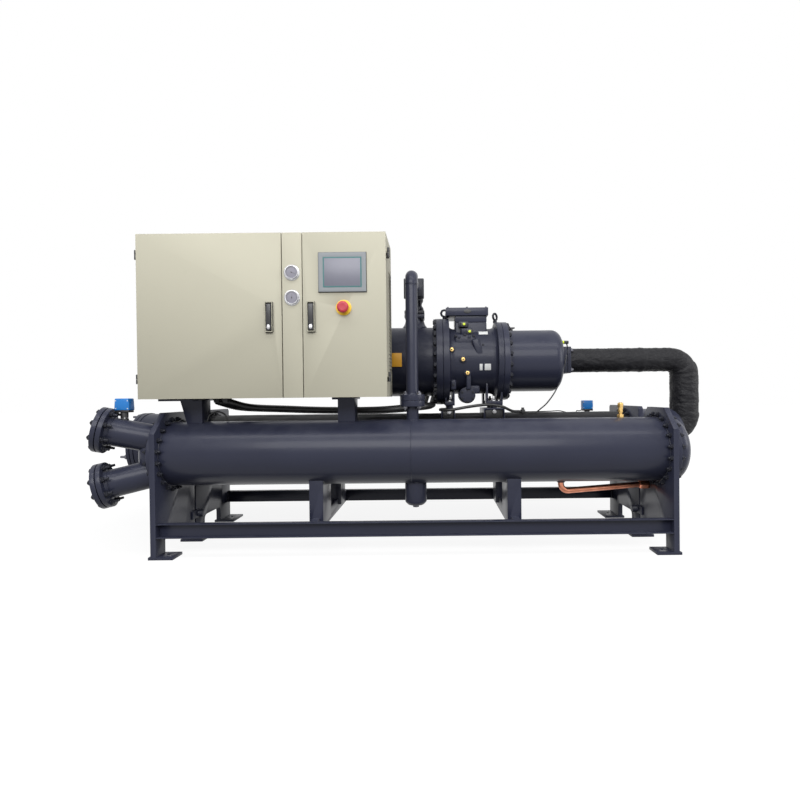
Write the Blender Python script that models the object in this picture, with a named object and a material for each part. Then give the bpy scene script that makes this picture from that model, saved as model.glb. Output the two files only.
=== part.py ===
"""Water-cooled screw chiller: two shells on a steel frame, a screw compressor and a control cabinet.

Units are metres and +Z is up.  The front of the machine faces -Y.  Depths are measured backwards from
the front edge of the tube sheets, and depth() turns one into a Y coordinate.  The origin is on the
floor, in the middle of the whole machine.
"""
import math

import bmesh
import bpy
from mathutils import Matrix, Vector

# Clearances
TOUCH = 0.0003
RUNNING = 0.005
PIN_CLEARANCE = 0.0005

# Tube sheets, which are also the legs of the machine
SHEET_SPAN = 2.93
SHEET_THICKNESS = 0.030
SHEET_RISE = 0.246
SHEET_LOWER_EDGE = 0.110
SHEET_CHAMFER = 0.115
SHEET_GAP = 0.018
LEG_FILLET = 0.030
CONDENSER_SHEET_DEPTH = 0.455
CONDENSER_LEG = 0.100
EVAPORATOR_SHEET_DEPTH = 0.540
EVAPORATOR_SHEET_CHAMFER = 0.015
EVAPORATOR_FRONT_LEG = 0.123
EVAPORATOR_REAR_LEG = 0.173

# Foot pads under the legs
FOOT_LENGTH = 0.137
FOOT_THICKNESS = 0.015
FOOT_MARGIN = 0.012
FOOT_PROUD = 0.004
FOOT_HOLE = 0.018

# Tie between the two sheets of one end
TIE_HEIGHT = 0.147
TIE_LENGTH = 0.090
TIE_WIDTH = 0.050
TIE_THICKNESS = 0.010
TIE_BOSS_RADIUS = 0.024
TIE_BOSS_LENGTH = 0.030

# Channel beams and intermediate supports
BEAM_HEIGHT = 0.080
BEAM_WIDTH = 0.043
BEAM_WALL = 0.005
BEAM_BOTTOM = 0.117
SUPPORT_X = 0.570
CROSS_WIDTH = 0.042
POST_WIDTH = 0.080
POST_PLATE = 0.008
CONDENSER_POST_DEPTH = 0.220
EVAPORATOR_POST_DEPTH = 0.160

# Shells
SHELL_HEIGHT = 0.566
CONDENSER_AXIS = 0.220
CONDENSER_RADIUS = 0.1885
EVAPORATOR_AXIS = 0.740
EVAPORATOR_RADIUS = 0.2075
HEAD_FLANGE_RADIUS = 0.218
HEAD_FLANGE_THICKNESS = 0.022
HEAD_SKIRT = 0.045
HEAD_LENGTH = 0.135
BARREL_RADIUS = 0.222
BARREL_FLANGE_RADIUS = 0.228
BARREL_FLANGE_THICKNESS = 0.028
BARREL_ROUNDING = 0.050
BARREL_COVER_THICKNESS = 0.022
BARREL_STUDS = 12
BARREL_STUD_RADIUS = 0.011
BARREL_STUD_LENGTH = 0.0447
BARREL_STUD_INSET = 0.018
LEFT_BARREL_LENGTH = 0.447
RIGHT_BARREL_LENGTH = 0.325
SUMP_RADIUS = 0.064
SUMP_REACH = 0.318
SUMP_CHAMFER = 0.018

# Water nozzles and their flange pairs
NOZZLE_RADIUS = 0.0795
NOZZLE_BORE = 0.0750
NOZZLE_MEETING_X = -1.0676
NOZZLE_LENGTH = 0.737
NOZZLE_RISE = math.radians(12.6)
NOZZLE_FORWARD = math.radians(15.0)
WATER_FLANGE_RADIUS = 0.127
WATER_FLANGE_THICKNESS = 0.024
WATER_FLANGE_REACH = 0.089
WATER_GASKET = 0.004
WATER_GASKET_RADIUS = 0.100
EVAPORATOR_NOZZLE_X = 1.284
EVAPORATOR_NOZZLE_REACH = 0.500

# Flow switches
SWITCH_WIDTH = 0.086
SWITCH_TOP_WIDTH = 0.078
SWITCH_DEPTH = 0.054
SWITCH_HEIGHT = 0.067
SWITCH_STEM_RADIUS = 0.022
CONDENSER_SWITCH_SETBACK = 0.133
CONDENSER_SWITCH_STEM = 0.051
EVAPORATOR_SWITCH_SETBACK = 0.170
EVAPORATOR_SWITCH_STEM = 0.134

# Liquid line and safety valve
LIQUID_RADIUS = 0.0175
LIQUID_START_X = 0.865
LIQUID_DROP = 0.248
LIQUID_END_DROP = 0.233
LIQUID_END_DEPTH = 0.330
LIQUID_BEND = 0.045
LIQUID_NUT_RADIUS = 0.027
LIQUID_NUT_LENGTH = 0.060
SAFETY_VALVE_X = 1.224
SAFETY_VALVE_RADIUS = 0.015
SAFETY_VALVE_RISE = 0.277
SAFETY_VALVE_COLLAR = 0.003
SAFETY_VALVE_COLLAR_HEIGHT = 0.030
SAFETY_VALVE_BASE = 0.006
SAFETY_VALVE_BASE_HEIGHT = 0.016

# Compressor
COMPRESSOR_RISE = 0.564
SEPARATOR_START = -0.480
SEPARATOR_RADIUS = 0.2375
SEPARATOR_DISH = 0.090
BODY_FLANGE_START = 0.132
BODY_FLANGE_THICKNESS = 0.0435
BODY_FLANGE_RADIUS = 0.297
BODY_START = 0.219
BODY_END = 0.536
BODY_RADIUS = 0.225
MOTOR_FLANGE_THICKNESS = 0.0385
MOTOR_FLANGE_RADIUS = 0.270
MOTOR_RADIUS = 0.212
MOTOR_END = 0.988
MOTOR_ROUNDING = 0.062
SUCTION_NECK_RADIUS = 0.080
SUCTION_FLANGE_SIZE = 0.180
SUCTION_FLANGE_START = 1.000
SUCTION_FLANGE_END = 1.052
TERMINAL_BOX_START = 0.262
TERMINAL_BOX_END = 0.474
TERMINAL_LID_START = 0.199
TERMINAL_LID_END = 0.484
TERMINAL_PAD_HEIGHT = 0.034
TERMINAL_BOX_HEIGHT = 0.043
TERMINAL_LID_HEIGHT = 0.053
TERMINAL_BOX_DEPTH = 0.240
TERMINAL_LID_MARGIN = 0.015
FILTER_COVER_X = 0.335
FILTER_COVER_DROP = 0.010
FILTER_COVER_RADIUS = 0.054
FILTER_COVER_REACH = 0.205
PORT_RADIUS = 0.022
PORT_BOSS = 0.012
PORT_PLACES = ((0.014, 0.064), (0.087, -0.001), (0.116, -0.089))
FOOT_PLATE_WIDTH = 0.080
FOOT_PLATE_SPREAD = 0.240
FOOT_BUSH_RADIUS = 0.022
FOOT_BUSH_HEIGHT = 0.021
FOOT_PLATE_THICKNESS = 0.029
LEFT_FOOT = (-0.032, 0.033)
RIGHT_FOOT = (-0.074, 0.037)
GUSSET_THICKNESS = 0.013
GUSSET_TOP_DROP = 0.154
LEFT_SADDLE = (-0.058, 0.035)
RIGHT_SADDLE = (-0.089, 0.049)
SADDLE_WIDTH = 0.320
SADDLE_RISE = 0.0325
SADDLE_PLATE = 0.008

# Discharge line
DISCHARGE_X = -0.015
DISCHARGE_RADIUS = 0.036
DISCHARGE_FLANGE_RADIUS = 0.074
DISCHARGE_STUB_RISE = 0.0775
DISCHARGE_FLANGE_THICKNESS = 0.035
DISCHARGE_RISE = 0.486
DISCHARGE_BEND = 0.056
ELBOW_STRAIGHT = 0.008
VALVE_SEAT_RISE = 0.325
VALVE_WAIST_RISE = 0.075
VALVE_LENGTH = 0.233
VALVE_NECK_RADIUS = 0.064
VALVE_NECK_FLARE = 0.086
VALVE_NECK_FLARE_HEIGHT = 0.045
VALVE_FLANGE_THICKNESS = 0.026
VALVE_FLANGE_SIZE = 0.136
VALVE_WAIST_RADIUS = 0.050
VALVE_BODY_RADIUS = 0.060
VALVE_ROUNDING = 0.020
VALVE_OUTLET_RADIUS = 0.052
VALVE_OUTLET_LENGTH = 0.056

# Suction pipe, measured over its foam insulation
SUCTION_RADIUS = 0.0855
SUCTION_DROP_RADIUS = 0.095
SUCTION_X = 1.862
SUCTION_UPPER_BEND = 0.110
SUCTION_LOWER_BEND = 0.100
SUCTION_OUTLET_RISE = 0.082

# Control cabinet
CABINET_LEFT = -1.521
CABINET_WIDTH = 1.3765
CABINET_RISE = 0.1365
CABINET_HEIGHT = 0.910
CABINET_DEPTH = 0.330
CABINET_SHEET = 0.003
CABINET_CUTTER_REACH = 1.0
LEFT_DOOR_SHARE = 0.5808
STRIP_WIDTH = 0.1085
DOOR_THICKNESS = 0.022
DOOR_RIM = 0.020
DOOR_SKIN = 0.006
FRAME_WIDTH = 0.030
FRAME_STEP = 0.003
MOUNTING_PLATE_MARGIN = 0.040
MOUNTING_PLATE_STANDOFF = 0.030
STANDOFF_RADIUS = 0.008
HINGE_INSET = 0.110
HINGE_HEIGHT = 0.050
HINGE_RADIUS = 0.007
HINGE_PIN_RADIUS = 0.003
HINGE_OFFSET = 0.0125
HINGE_LEAF = 0.004
BRACKET_PLATE = 0.012
BRACKET_BODY_DEPTH = 0.110
BRACKET_PLATE_DEPTH = 0.260
BRACKET_NECK_DROP = 0.0145
LEFT_BRACKET_PLATE = (0.085, 0.278)
LEFT_BRACKET_TOP = (0.149, 0.278)
LEFT_BRACKET_FOOT = (0.190, 0.278)
RIGHT_BRACKET_PLATE = (-0.3155, -0.1955)
RIGHT_BRACKET_FOOT = (-0.3055, -0.2055)

# Door locks
LOCK_WIDTH = 0.042
LOCK_LENGTH = 0.165
LOCK_RIM = 0.0035
LOCK_DEPTH = 0.017
LOCK_DROP = 0.465
LEFT_LOCK_INSET = 0.0675
RIGHT_LOCK_INSET = 0.045
LEVER_WIDTH = 0.025
LEVER_THICKNESS = 0.014
LEVER_LENGTH = 0.146
LEVER_PIN_RADIUS = 0.0025

# Gauges, operator panel and stop button
GAUGE_RADIUS = 0.044
GAUGE_DIAL_RADIUS = 0.033
GAUGE_RIM = 0.004
GAUGE_FLANGE_THICKNESS = 0.004
GAUGE_THICKNESS = 0.012
GAUGE_DIAL_LEVEL = 0.009
UPPER_GAUGE_DROP = 0.221
LOWER_GAUGE_DROP = 0.359
PANEL_WIDTH = 0.262
PANEL_HEIGHT = 0.216
PANEL_THICKNESS = 0.010
PANEL_SCREEN_DEPTH = 0.002
PANEL_SCREEN_MARGIN = 0.024
PANEL_CENTRE_SHARE = 0.521
PANEL_DROP = 0.222
STOP_DROP = 0.417
STOP_SHARE = 0.511
STOP_PLATE_RADIUS = 0.043
STOP_PLATE_THICKNESS = 0.004
STOP_COLLAR_RADIUS = 0.020
STOP_COLLAR_THICKNESS = 0.014
STOP_STEM_RADIUS = 0.011
STOP_HEAD_RADIUS = 0.032
STOP_HEAD_THICKNESS = 0.018
STOP_HEAD_EDGE = 0.010
STOP_TRAVEL = 0.006

# Cables that the machine holds
CONDUIT_RADIUS = 0.0225
CONDUIT_START_X = -1.130
CONDUIT_START_DEPTH = 0.240
CONDUIT_SPACING = 0.054
CONDUIT_START_STEP = 1.4
CONDUIT_TURN_STEP = 1.1
CONDUIT_END_STEP = 1.5
CONDUIT_END_INSET = 0.075
CONDUIT_TURN_INSET = 0.034
CONDUIT_ROUTE_STEPS = 3

# Places worked out from the sizes above
SHEET_OUTER = SHEET_SPAN / 2
SHEET_INNER = SHEET_OUTER - SHEET_THICKNESS
EVAPORATOR_SHEET_FRONT = CONDENSER_SHEET_DEPTH + SHEET_GAP
EVAPORATOR_SHEET_REAR = EVAPORATOR_SHEET_FRONT + EVAPORATOR_SHEET_DEPTH
REAR_REACH = EVAPORATOR_AXIS + EVAPORATOR_NOZZLE_REACH
STOP_REACH = STOP_COLLAR_THICKNESS + STOP_TRAVEL + RUNNING + STOP_HEAD_THICKNESS
MIDDLE_DEPTH = (REAR_REACH - WATER_FLANGE_REACH) / 2
SHELL_TOP = SHELL_HEIGHT + CONDENSER_RADIUS
SHEET_TOP = SHELL_HEIGHT + SHEET_RISE
COMPRESSOR_HEIGHT = SHELL_HEIGHT + COMPRESSOR_RISE
SADDLE_TOP = SHELL_HEIGHT + EVAPORATOR_RADIUS + SADDLE_RISE
FOOT_PLATE_BOTTOM = SADDLE_TOP + FOOT_BUSH_HEIGHT
FOOT_PLATE_TOP = FOOT_PLATE_BOTTOM + FOOT_PLATE_THICKNESS
DISCHARGE_FLANGE_BOTTOM = SHELL_TOP + DISCHARGE_STUB_RISE
DISCHARGE_FLANGE_MIDDLE = DISCHARGE_FLANGE_BOTTOM + DISCHARGE_FLANGE_THICKNESS
DISCHARGE_FLANGE_TOP = DISCHARGE_FLANGE_MIDDLE + DISCHARGE_FLANGE_THICKNESS
DISCHARGE_TOP = COMPRESSOR_HEIGHT + DISCHARGE_RISE
VALVE_SEAT = COMPRESSOR_HEIGHT + VALVE_SEAT_RISE
VALVE_TOP = VALVE_SEAT + VALVE_LENGTH
CABINET_BOTTOM = SHELL_TOP + CABINET_RISE
CABINET_RIGHT = CABINET_LEFT + CABINET_WIDTH
CABINET_TOP = CABINET_BOTTOM + CABINET_HEIGHT
CABINET_FRONT = DOOR_THICKNESS + RUNNING
LOCK_HEIGHT = CABINET_TOP - LOCK_DROP
STOP_HEIGHT = CABINET_TOP - STOP_DROP
PANEL_CENTRE_HEIGHT = CABINET_TOP - PANEL_DROP
VALVE_FACE_DEPTH = EVAPORATOR_AXIS - VALVE_NECK_RADIUS - VALVE_OUTLET_LENGTH
TERMINAL_PAD_TOP = COMPRESSOR_HEIGHT + BODY_RADIUS + TERMINAL_PAD_HEIGHT
TERMINAL_LID_BOTTOM = TERMINAL_PAD_TOP + TERMINAL_BOX_HEIGHT
SUCTION_OUTLET_HEIGHT = SHELL_HEIGHT + SUCTION_OUTLET_RISE
LEFT_DOOR_END = CABINET_LEFT + CABINET_WIDTH * LEFT_DOOR_SHARE
STRIP_START = LEFT_DOOR_END + RUNNING
STRIP_END = STRIP_START + STRIP_WIDTH
RIGHT_DOOR_START = STRIP_END + RUNNING
RIGHT_DOOR_WIDTH = CABINET_RIGHT - RIGHT_DOOR_START

# Facets round a full turn
LARGE_SIDES = 40
MEDIUM_SIDES = 20
SMALL_SIDES = 10
NOZZLE_SIDES = 24
DOME_STEPS = 5
BEND_STEPS = 6


def depth(distance):
    """Y coordinate of a depth measured backwards from the front edge of the tube sheets."""
    return distance - MIDDLE_DEPTH


def material(name, colour, roughness, metallic=0.0):
    """Principled material in one plain finish."""
    result = bpy.data.materials.new(name)
    result.use_nodes = True
    shader = result.node_tree.nodes["Principled BSDF"]
    shader.inputs["Base Color"].default_value = (*colour, 1.0)
    shader.inputs["Roughness"].default_value = roughness
    shader.inputs["Metallic"].default_value = metallic
    return result


def block(low, high):
    """Box between two corners."""
    shape = bmesh.new()
    size = [high[i] - low[i] for i in range(3)]
    middle = [(high[i] + low[i]) / 2 for i in range(3)]
    bmesh.ops.create_cube(shape, size=1.0)
    bmesh.ops.scale(shape, vec=size, verts=shape.verts)
    bmesh.ops.translate(shape, vec=middle, verts=shape.verts)
    return shape


def along(direction):
    """Rotation that turns the Z axis into a direction."""
    return Vector(direction).to_track_quat("Z", "Y").to_matrix().to_4x4()


def turned(profile, start, direction, sides=LARGE_SIDES):
    """Solid of revolution from (distance along the axis, radius) points that start and end on the axis."""
    shape = bmesh.new()
    points = [shape.verts.new((radius, 0.0, distance)) for distance, radius in profile]
    edges = [shape.edges.new(pair) for pair in zip(points, points[1:])]
    bmesh.ops.spin(
        shape, geom=points + edges, cent=(0, 0, 0), axis=(0, 0, 1), dvec=(0, 0, 0),
        angle=2 * math.pi, steps=sides, use_merge=True,
    )
    bmesh.ops.remove_doubles(shape, verts=shape.verts, dist=1e-6)
    bmesh.ops.recalc_face_normals(shape, faces=shape.faces)
    bmesh.ops.transform(shape, matrix=Matrix.Translation(start) @ along(direction), verts=shape.verts)
    return shape


def rod(start, end, radius, sides=MEDIUM_SIDES):
    """Round bar between two points."""
    direction = Vector(end) - Vector(start)
    length = direction.length
    return turned([(0, 0), (0, radius), (length, radius), (length, 0)], start, direction, sides)


def prism(outline, axis, low, high):
    """Outline extruded along an axis: its points give the other two coordinates in X, Y, Z order."""
    shape = bmesh.new()
    corners = []
    for across, up in outline:
        point = [across, up]
        point.insert(axis, low)
        corners.append(shape.verts.new(point))
    face = shape.faces.new(corners)
    extruded = bmesh.ops.extrude_face_region(shape, geom=[face])
    moved = [item for item in extruded["geom"] if isinstance(item, bmesh.types.BMVert)]
    offset = [0.0, 0.0, 0.0]
    offset[axis] = high - low
    bmesh.ops.translate(shape, vec=offset, verts=moved)
    bmesh.ops.recalc_face_normals(shape, faces=shape.faces)
    return shape


def swept(path, radii, sides=MEDIUM_SIDES):
    """Round bar along a path, with one radius for each of its points."""
    shape = bmesh.new()
    rings = []
    for index, point in enumerate(path):
        before = path[max(index - 1, 0)]
        after = path[min(index + 1, len(path) - 1)]
        place = Matrix.Translation(point) @ along(Vector(after) - Vector(before))
        made = bmesh.ops.create_circle(shape, segments=sides, radius=radii[index], matrix=place)
        rings.append(made["verts"])
    for first, second in zip(rings, rings[1:]):
        edges = {edge for vert in first + second for edge in vert.link_edges if len(edge.link_faces) < 2}
        inside = set(first + second)
        loops = [edge for edge in edges if all(vert in inside for vert in edge.verts)]
        bmesh.ops.bridge_loops(shape, edges=loops)
    shape.faces.new(rings[0])
    shape.faces.new(rings[-1])
    bmesh.ops.recalc_face_normals(shape, faces=shape.faces)
    return shape


def bend(before, corner, after, radius, steps):
    """Points of an arc that rounds the corner between two straight runs."""
    corner = Vector(corner)
    back = (Vector(before) - corner).normalized()
    ahead = (Vector(after) - corner).normalized()
    half = back.angle(ahead) / 2
    centre = corner + (back + ahead).normalized() * (radius / math.sin(half))
    start = corner + back * (radius / math.tan(half))
    end = corner + ahead * (radius / math.tan(half))
    sweep = math.pi - 2 * half
    first = start - centre
    side = (end - centre) - first * math.cos(sweep)
    side = side.normalized() * radius
    return [
        centre + first * math.cos(sweep * step / steps) + side * math.sin(sweep * step / steps)
        for step in range(steps + 1)
    ]


def routed(corners, radius, steps=BEND_STEPS):
    """Path through corner points, each inner corner rounded with one radius."""
    path = [Vector(corners[0])]
    for before, corner, after in zip(corners, corners[1:], corners[2:]):
        path += bend(before, corner, after, radius, steps)
    path.append(Vector(corners[-1]))
    return path


def place_mesh(name, shape, origin):
    """Object whose mesh is a shape, with its origin at a point of the machine."""
    bmesh.ops.translate(shape, vec=-Vector(origin), verts=shape.verts)
    mesh = bpy.data.meshes.new(name)
    shape.to_mesh(mesh)
    shape.free()
    mesh.shade_smooth()
    mesh.set_sharp_from_angle(angle=math.radians(30))
    result = bpy.data.objects.new(name, mesh)
    bpy.context.collection.objects.link(result)
    result.location = origin
    return result


def piece(name, finish, shape, origin=(0, 0, 0), joined=(), cut=(), parent=None):
    """Named piece of the machine, with shapes welded to it and then shapes cut from it."""
    result = place_mesh(name, shape, origin)
    result.data.materials.append(finish)
    tools = [("UNION", tool) for tool in joined] + [("DIFFERENCE", tool) for tool in cut]
    for index, (operation, tool) in enumerate(tools):
        helper = place_mesh(f"{name}_tool_{index}", tool, (0, 0, 0))
        helper.hide_render = True
        helper.display_type = "WIRE"
        modifier = result.modifiers.new(f"{operation.lower()}_{index}", "BOOLEAN")
        modifier.operation = operation
        modifier.object = helper
    if parent:
        result.parent = parent
        result.matrix_parent_inverse = Matrix.Translation(-parent.location)
    return result


def axis_point(name, location):
    """Empty that marks a joint's axis and carries what turns on it."""
    result = bpy.data.objects.new(name, None)
    bpy.context.collection.objects.link(result)
    result.location = location
    return result


def sheet_outline(front, rear, front_leg, rear_leg, chamfer):
    """Tube sheet seen from the end: chamfered top corners, two legs and a filleted arch between them."""
    leg_end = FOOT_THICKNESS / 2
    arch_front = front + front_leg
    arch_rear = rear - rear_leg
    outline = [
        (front, leg_end),
        (front, SHEET_TOP - chamfer),
        (front + chamfer, SHEET_TOP),
        (rear - chamfer, SHEET_TOP),
        (rear, SHEET_TOP - chamfer),
        (rear, leg_end),
        (arch_rear, leg_end),
    ]
    corners = [
        ((0, arch_rear, leg_end), (0, arch_rear, SHEET_LOWER_EDGE), (0, arch_front, SHEET_LOWER_EDGE)),
        ((0, arch_rear, SHEET_LOWER_EDGE), (0, arch_front, SHEET_LOWER_EDGE), (0, arch_front, leg_end)),
    ]
    for before, corner, after in corners:
        outline += [(point.y, point.z) for point in bend(before, corner, after, LEG_FILLET, 4)]
    outline.append((arch_front, leg_end))
    return [(depth(across), up) for across, up in outline]


def foot_pad(side, front, width):
    """Foot pad under a leg: its low and high corners, and the middle of its bolt hole."""
    outer = side * (SHEET_OUTER + FOOT_MARGIN)
    inner = outer - side * FOOT_LENGTH
    low = (min(outer, inner), depth(front - FOOT_PROUD), 0.0)
    high = (max(outer, inner), depth(front + width + FOOT_PROUD), FOOT_THICKNESS)
    hole_x = side * (SHEET_INNER + SHEET_OUTER + FOOT_MARGIN - FOOT_LENGTH) / 2
    return low, high, (hole_x, depth(front + width / 2))


def tube_sheet(name, finish, side, front, sheet_depth, legs, chamfer, tie=False):
    """One tube sheet with its legs and bolted-down foot pads."""
    rear = front + sheet_depth
    front_leg, rear_leg = legs
    ends = sorted((side * SHEET_INNER, side * SHEET_OUTER))
    pads = []
    holes = []
    for pad_front, pad_width in ((front, front_leg), (rear - rear_leg, rear_leg)):
        low, high, hole = foot_pad(side, pad_front, pad_width)
        pads.append(block(low, high))
        holes.append(rod((*hole, -FOOT_THICKNESS), (*hole, 2 * FOOT_THICKNESS), FOOT_HOLE / 2, SMALL_SIDES))
    if tie:
        pads += tie_plate(side)
    outline = sheet_outline(front, rear, front_leg, rear_leg, chamfer)
    return piece(name, finish, prism(outline, 0, *ends), joined=pads, cut=holes)


def tie_plate(side):
    """Flat bar and boss that tie the two sheets of one end together, welded to the condenser's sheet."""
    seam = CONDENSER_SHEET_DEPTH
    weld = TIE_THICKNESS / 2
    near = SHEET_INNER - TIE_THICKNESS
    bar_x = sorted((side * near, side * (SHEET_INNER - TOUCH)))
    root_x = sorted((side * (near + weld), side * (SHEET_INNER + weld)))
    bar = block(
        (bar_x[0], depth(seam - TIE_LENGTH / 2), TIE_HEIGHT - TIE_WIDTH / 2),
        (bar_x[1], depth(seam + SHEET_GAP + TIE_LENGTH / 2), TIE_HEIGHT + TIE_WIDTH / 2),
    )
    root = block(
        (root_x[0], depth(seam - TIE_LENGTH / 2 + weld), TIE_HEIGHT - TIE_WIDTH / 2 + weld),
        (root_x[1], depth(seam - weld), TIE_HEIGHT + TIE_WIDTH / 2 - weld),
    )
    boss_depth = depth(seam + SHEET_GAP + TIE_LENGTH / 4)
    boss = rod(
        (side * (near + weld), boss_depth, TIE_HEIGHT), (side * (near - TIE_BOSS_LENGTH), boss_depth, TIE_HEIGHT),
        TIE_BOSS_RADIUS, SMALL_SIDES,
    )
    return [root, bar, boss]


def channel_outline(web, open_end):
    """Channel section: (depth, height) points with its web at one depth and its open side at another."""
    step = BEAM_WALL if open_end > web else -BEAM_WALL
    top = BEAM_BOTTOM + BEAM_HEIGHT
    return [
        (depth(web), BEAM_BOTTOM),
        (depth(web), top),
        (depth(open_end), top),
        (depth(open_end), top - BEAM_WALL),
        (depth(web + step), top - BEAM_WALL),
        (depth(web + step), BEAM_BOTTOM + BEAM_WALL),
        (depth(open_end), BEAM_BOTTOM + BEAM_WALL),
        (depth(open_end), BEAM_BOTTOM),
    ]


def make_frame(paint):
    """Tube sheets, beams and the two intermediate supports."""
    for side, label in ((-1, "left"), (1, "right")):
        tube_sheet(
            f"condenser_sheet_{label}", paint, side, 0.0, CONDENSER_SHEET_DEPTH,
            (CONDENSER_LEG, CONDENSER_LEG), SHEET_CHAMFER, tie=True,
        )
        tube_sheet(
            f"evaporator_sheet_{label}", paint, side, EVAPORATOR_SHEET_FRONT, EVAPORATOR_SHEET_DEPTH,
            (EVAPORATOR_FRONT_LEG, EVAPORATOR_REAR_LEG), EVAPORATOR_SHEET_CHAMFER,
        )
    reach = SHEET_INNER - TOUCH
    piece("front_beam", paint, prism(channel_outline(BEAM_WIDTH, 0.0), 0, -reach, reach))
    rear_web = EVAPORATOR_SHEET_REAR - BEAM_WIDTH
    piece("rear_beam", paint, prism(channel_outline(rear_web, EVAPORATOR_SHEET_REAR), 0, -reach, reach))
    for side, label in ((-1, "left"), (1, "right")):
        make_support(f"support_{label}", paint, side * SUPPORT_X)


def saddle_post(middle_x, axis_depth, post_depth):
    """Folded plate post, U-shaped in plan, as tall as the middle of the shell that it carries."""
    front = axis_depth - post_depth / 2
    rear = axis_depth + post_depth / 2
    half = POST_WIDTH / 2
    plan = [
        (middle_x - half, depth(rear)),
        (middle_x - half, depth(front)),
        (middle_x + half, depth(front)),
        (middle_x + half, depth(rear)),
        (middle_x + half - POST_PLATE, depth(rear)),
        (middle_x + half - POST_PLATE, depth(front + POST_PLATE)),
        (middle_x - half + POST_PLATE, depth(front + POST_PLATE)),
        (middle_x - half + POST_PLATE, depth(rear)),
    ]
    return prism(plan, 2, BEAM_BOTTOM + BEAM_HEIGHT / 2, SHELL_HEIGHT)


def shell_cutter(axis_depth, radius):
    """Cylinder a touch larger than a shell, for what is seated on it."""
    centre = (depth(axis_depth), SHELL_HEIGHT)
    return rod((-SHEET_OUTER, *centre), (SHEET_OUTER, *centre), radius + TOUCH, LARGE_SIDES)


def make_support(name, paint, middle_x):
    """Cross member between the beams, with a saddle post under each shell."""
    cross = block(
        (middle_x - CROSS_WIDTH / 2, depth(BEAM_WIDTH + TOUCH), BEAM_BOTTOM),
        (
            middle_x + CROSS_WIDTH / 2,
            depth(EVAPORATOR_SHEET_REAR - BEAM_WIDTH - TOUCH),
            BEAM_BOTTOM + BEAM_HEIGHT,
        ),
    )
    piece(
        name, paint, cross,
        joined=[
            saddle_post(middle_x, CONDENSER_AXIS, CONDENSER_POST_DEPTH),
            saddle_post(middle_x, EVAPORATOR_AXIS, EVAPORATOR_POST_DEPTH),
        ],
        cut=[
            shell_cutter(CONDENSER_AXIS, CONDENSER_RADIUS),
            shell_cutter(EVAPORATOR_AXIS, EVAPORATOR_RADIUS),
        ],
    )


def head_profile(extra=0.0):
    """Dished head: bolting flange, short skirt and an elliptical dome."""
    skirt_radius = CONDENSER_RADIUS + extra
    dome = HEAD_LENGTH - HEAD_SKIRT + extra
    flange_radius = HEAD_FLANGE_RADIUS + extra
    flange_end = HEAD_FLANGE_THICKNESS + extra
    points = [(0, 0), (0, flange_radius), (flange_end, flange_radius), (flange_end, skirt_radius)]
    for step in range(DOME_STEPS + 1):
        angle = math.pi / 2 * step / DOME_STEPS
        radius = skirt_radius * math.cos(angle) if step < DOME_STEPS else 0.0
        points.append((HEAD_SKIRT + dome * math.sin(angle), radius))
    return points


def head(side, extra=0.0):
    """Dished head bolted to the outer face of a condenser tube sheet."""
    start = (side * (SHEET_OUTER + TOUCH), depth(CONDENSER_AXIS), SHELL_HEIGHT)
    return turned(head_profile(extra), start, (side, 0, 0), LARGE_SIDES)


def barrel_flange():
    """Start of a barrel head's profile: the flange on the tube sheet."""
    return [
        (0, 0), (0, BARREL_FLANGE_RADIUS), (BARREL_FLANGE_THICKNESS, BARREL_FLANGE_RADIUS),
        (BARREL_FLANGE_THICKNESS, BARREL_RADIUS),
    ]


def covered_barrel():
    """Evaporator head that ends in a flange and a bolted flat cover."""
    cover = LEFT_BARREL_LENGTH - BARREL_COVER_THICKNESS
    seam = cover - WATER_GASKET
    flange = seam - BARREL_COVER_THICKNESS
    return [
        *barrel_flange(), (flange, BARREL_RADIUS), (flange, BARREL_FLANGE_RADIUS), (seam, BARREL_FLANGE_RADIUS),
        (seam, BARREL_RADIUS), (cover, BARREL_RADIUS), (cover, BARREL_FLANGE_RADIUS),
        (LEFT_BARREL_LENGTH, BARREL_FLANGE_RADIUS), (LEFT_BARREL_LENGTH, 0),
    ]


def cover_studs():
    """Ring of studs that stand out of the left barrel's cover."""
    ring = BARREL_FLANGE_RADIUS - BARREL_STUD_INSET
    face = -SHEET_OUTER - TOUCH - LEFT_BARREL_LENGTH
    studs = []
    for index in range(BARREL_STUDS):
        angle = 2 * math.pi * (index + 0.5) / BARREL_STUDS
        across = depth(EVAPORATOR_AXIS) + ring * math.cos(angle)
        up = SHELL_HEIGHT + ring * math.sin(angle)
        start = (face + BARREL_COVER_THICKNESS / 2, across, up)
        studs.append(rod(start, (face - BARREL_STUD_LENGTH, across, up), BARREL_STUD_RADIUS, 6))
    return studs


def rounded_barrel(extra=0.0):
    """Evaporator head with a rounded end, out of which the suction pipe comes."""
    length = RIGHT_BARREL_LENGTH + extra
    points = barrel_flange()
    if extra:
        points = [(0, 0), (0, BARREL_FLANGE_RADIUS + extra)]
        points.append((BARREL_FLANGE_THICKNESS + extra, BARREL_FLANGE_RADIUS + extra))
        points.append((BARREL_FLANGE_THICKNESS + extra, BARREL_RADIUS + extra))
    return points + dished(length, BARREL_RADIUS + extra, BARREL_ROUNDING)


def barrel(side, profile):
    """Evaporator head bolted to the outer face of a tube sheet."""
    start = (side * (SHEET_OUTER + TOUCH), depth(EVAPORATOR_AXIS), SHELL_HEIGHT)
    return turned(profile, start, (side, 0, 0), LARGE_SIDES)


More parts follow.
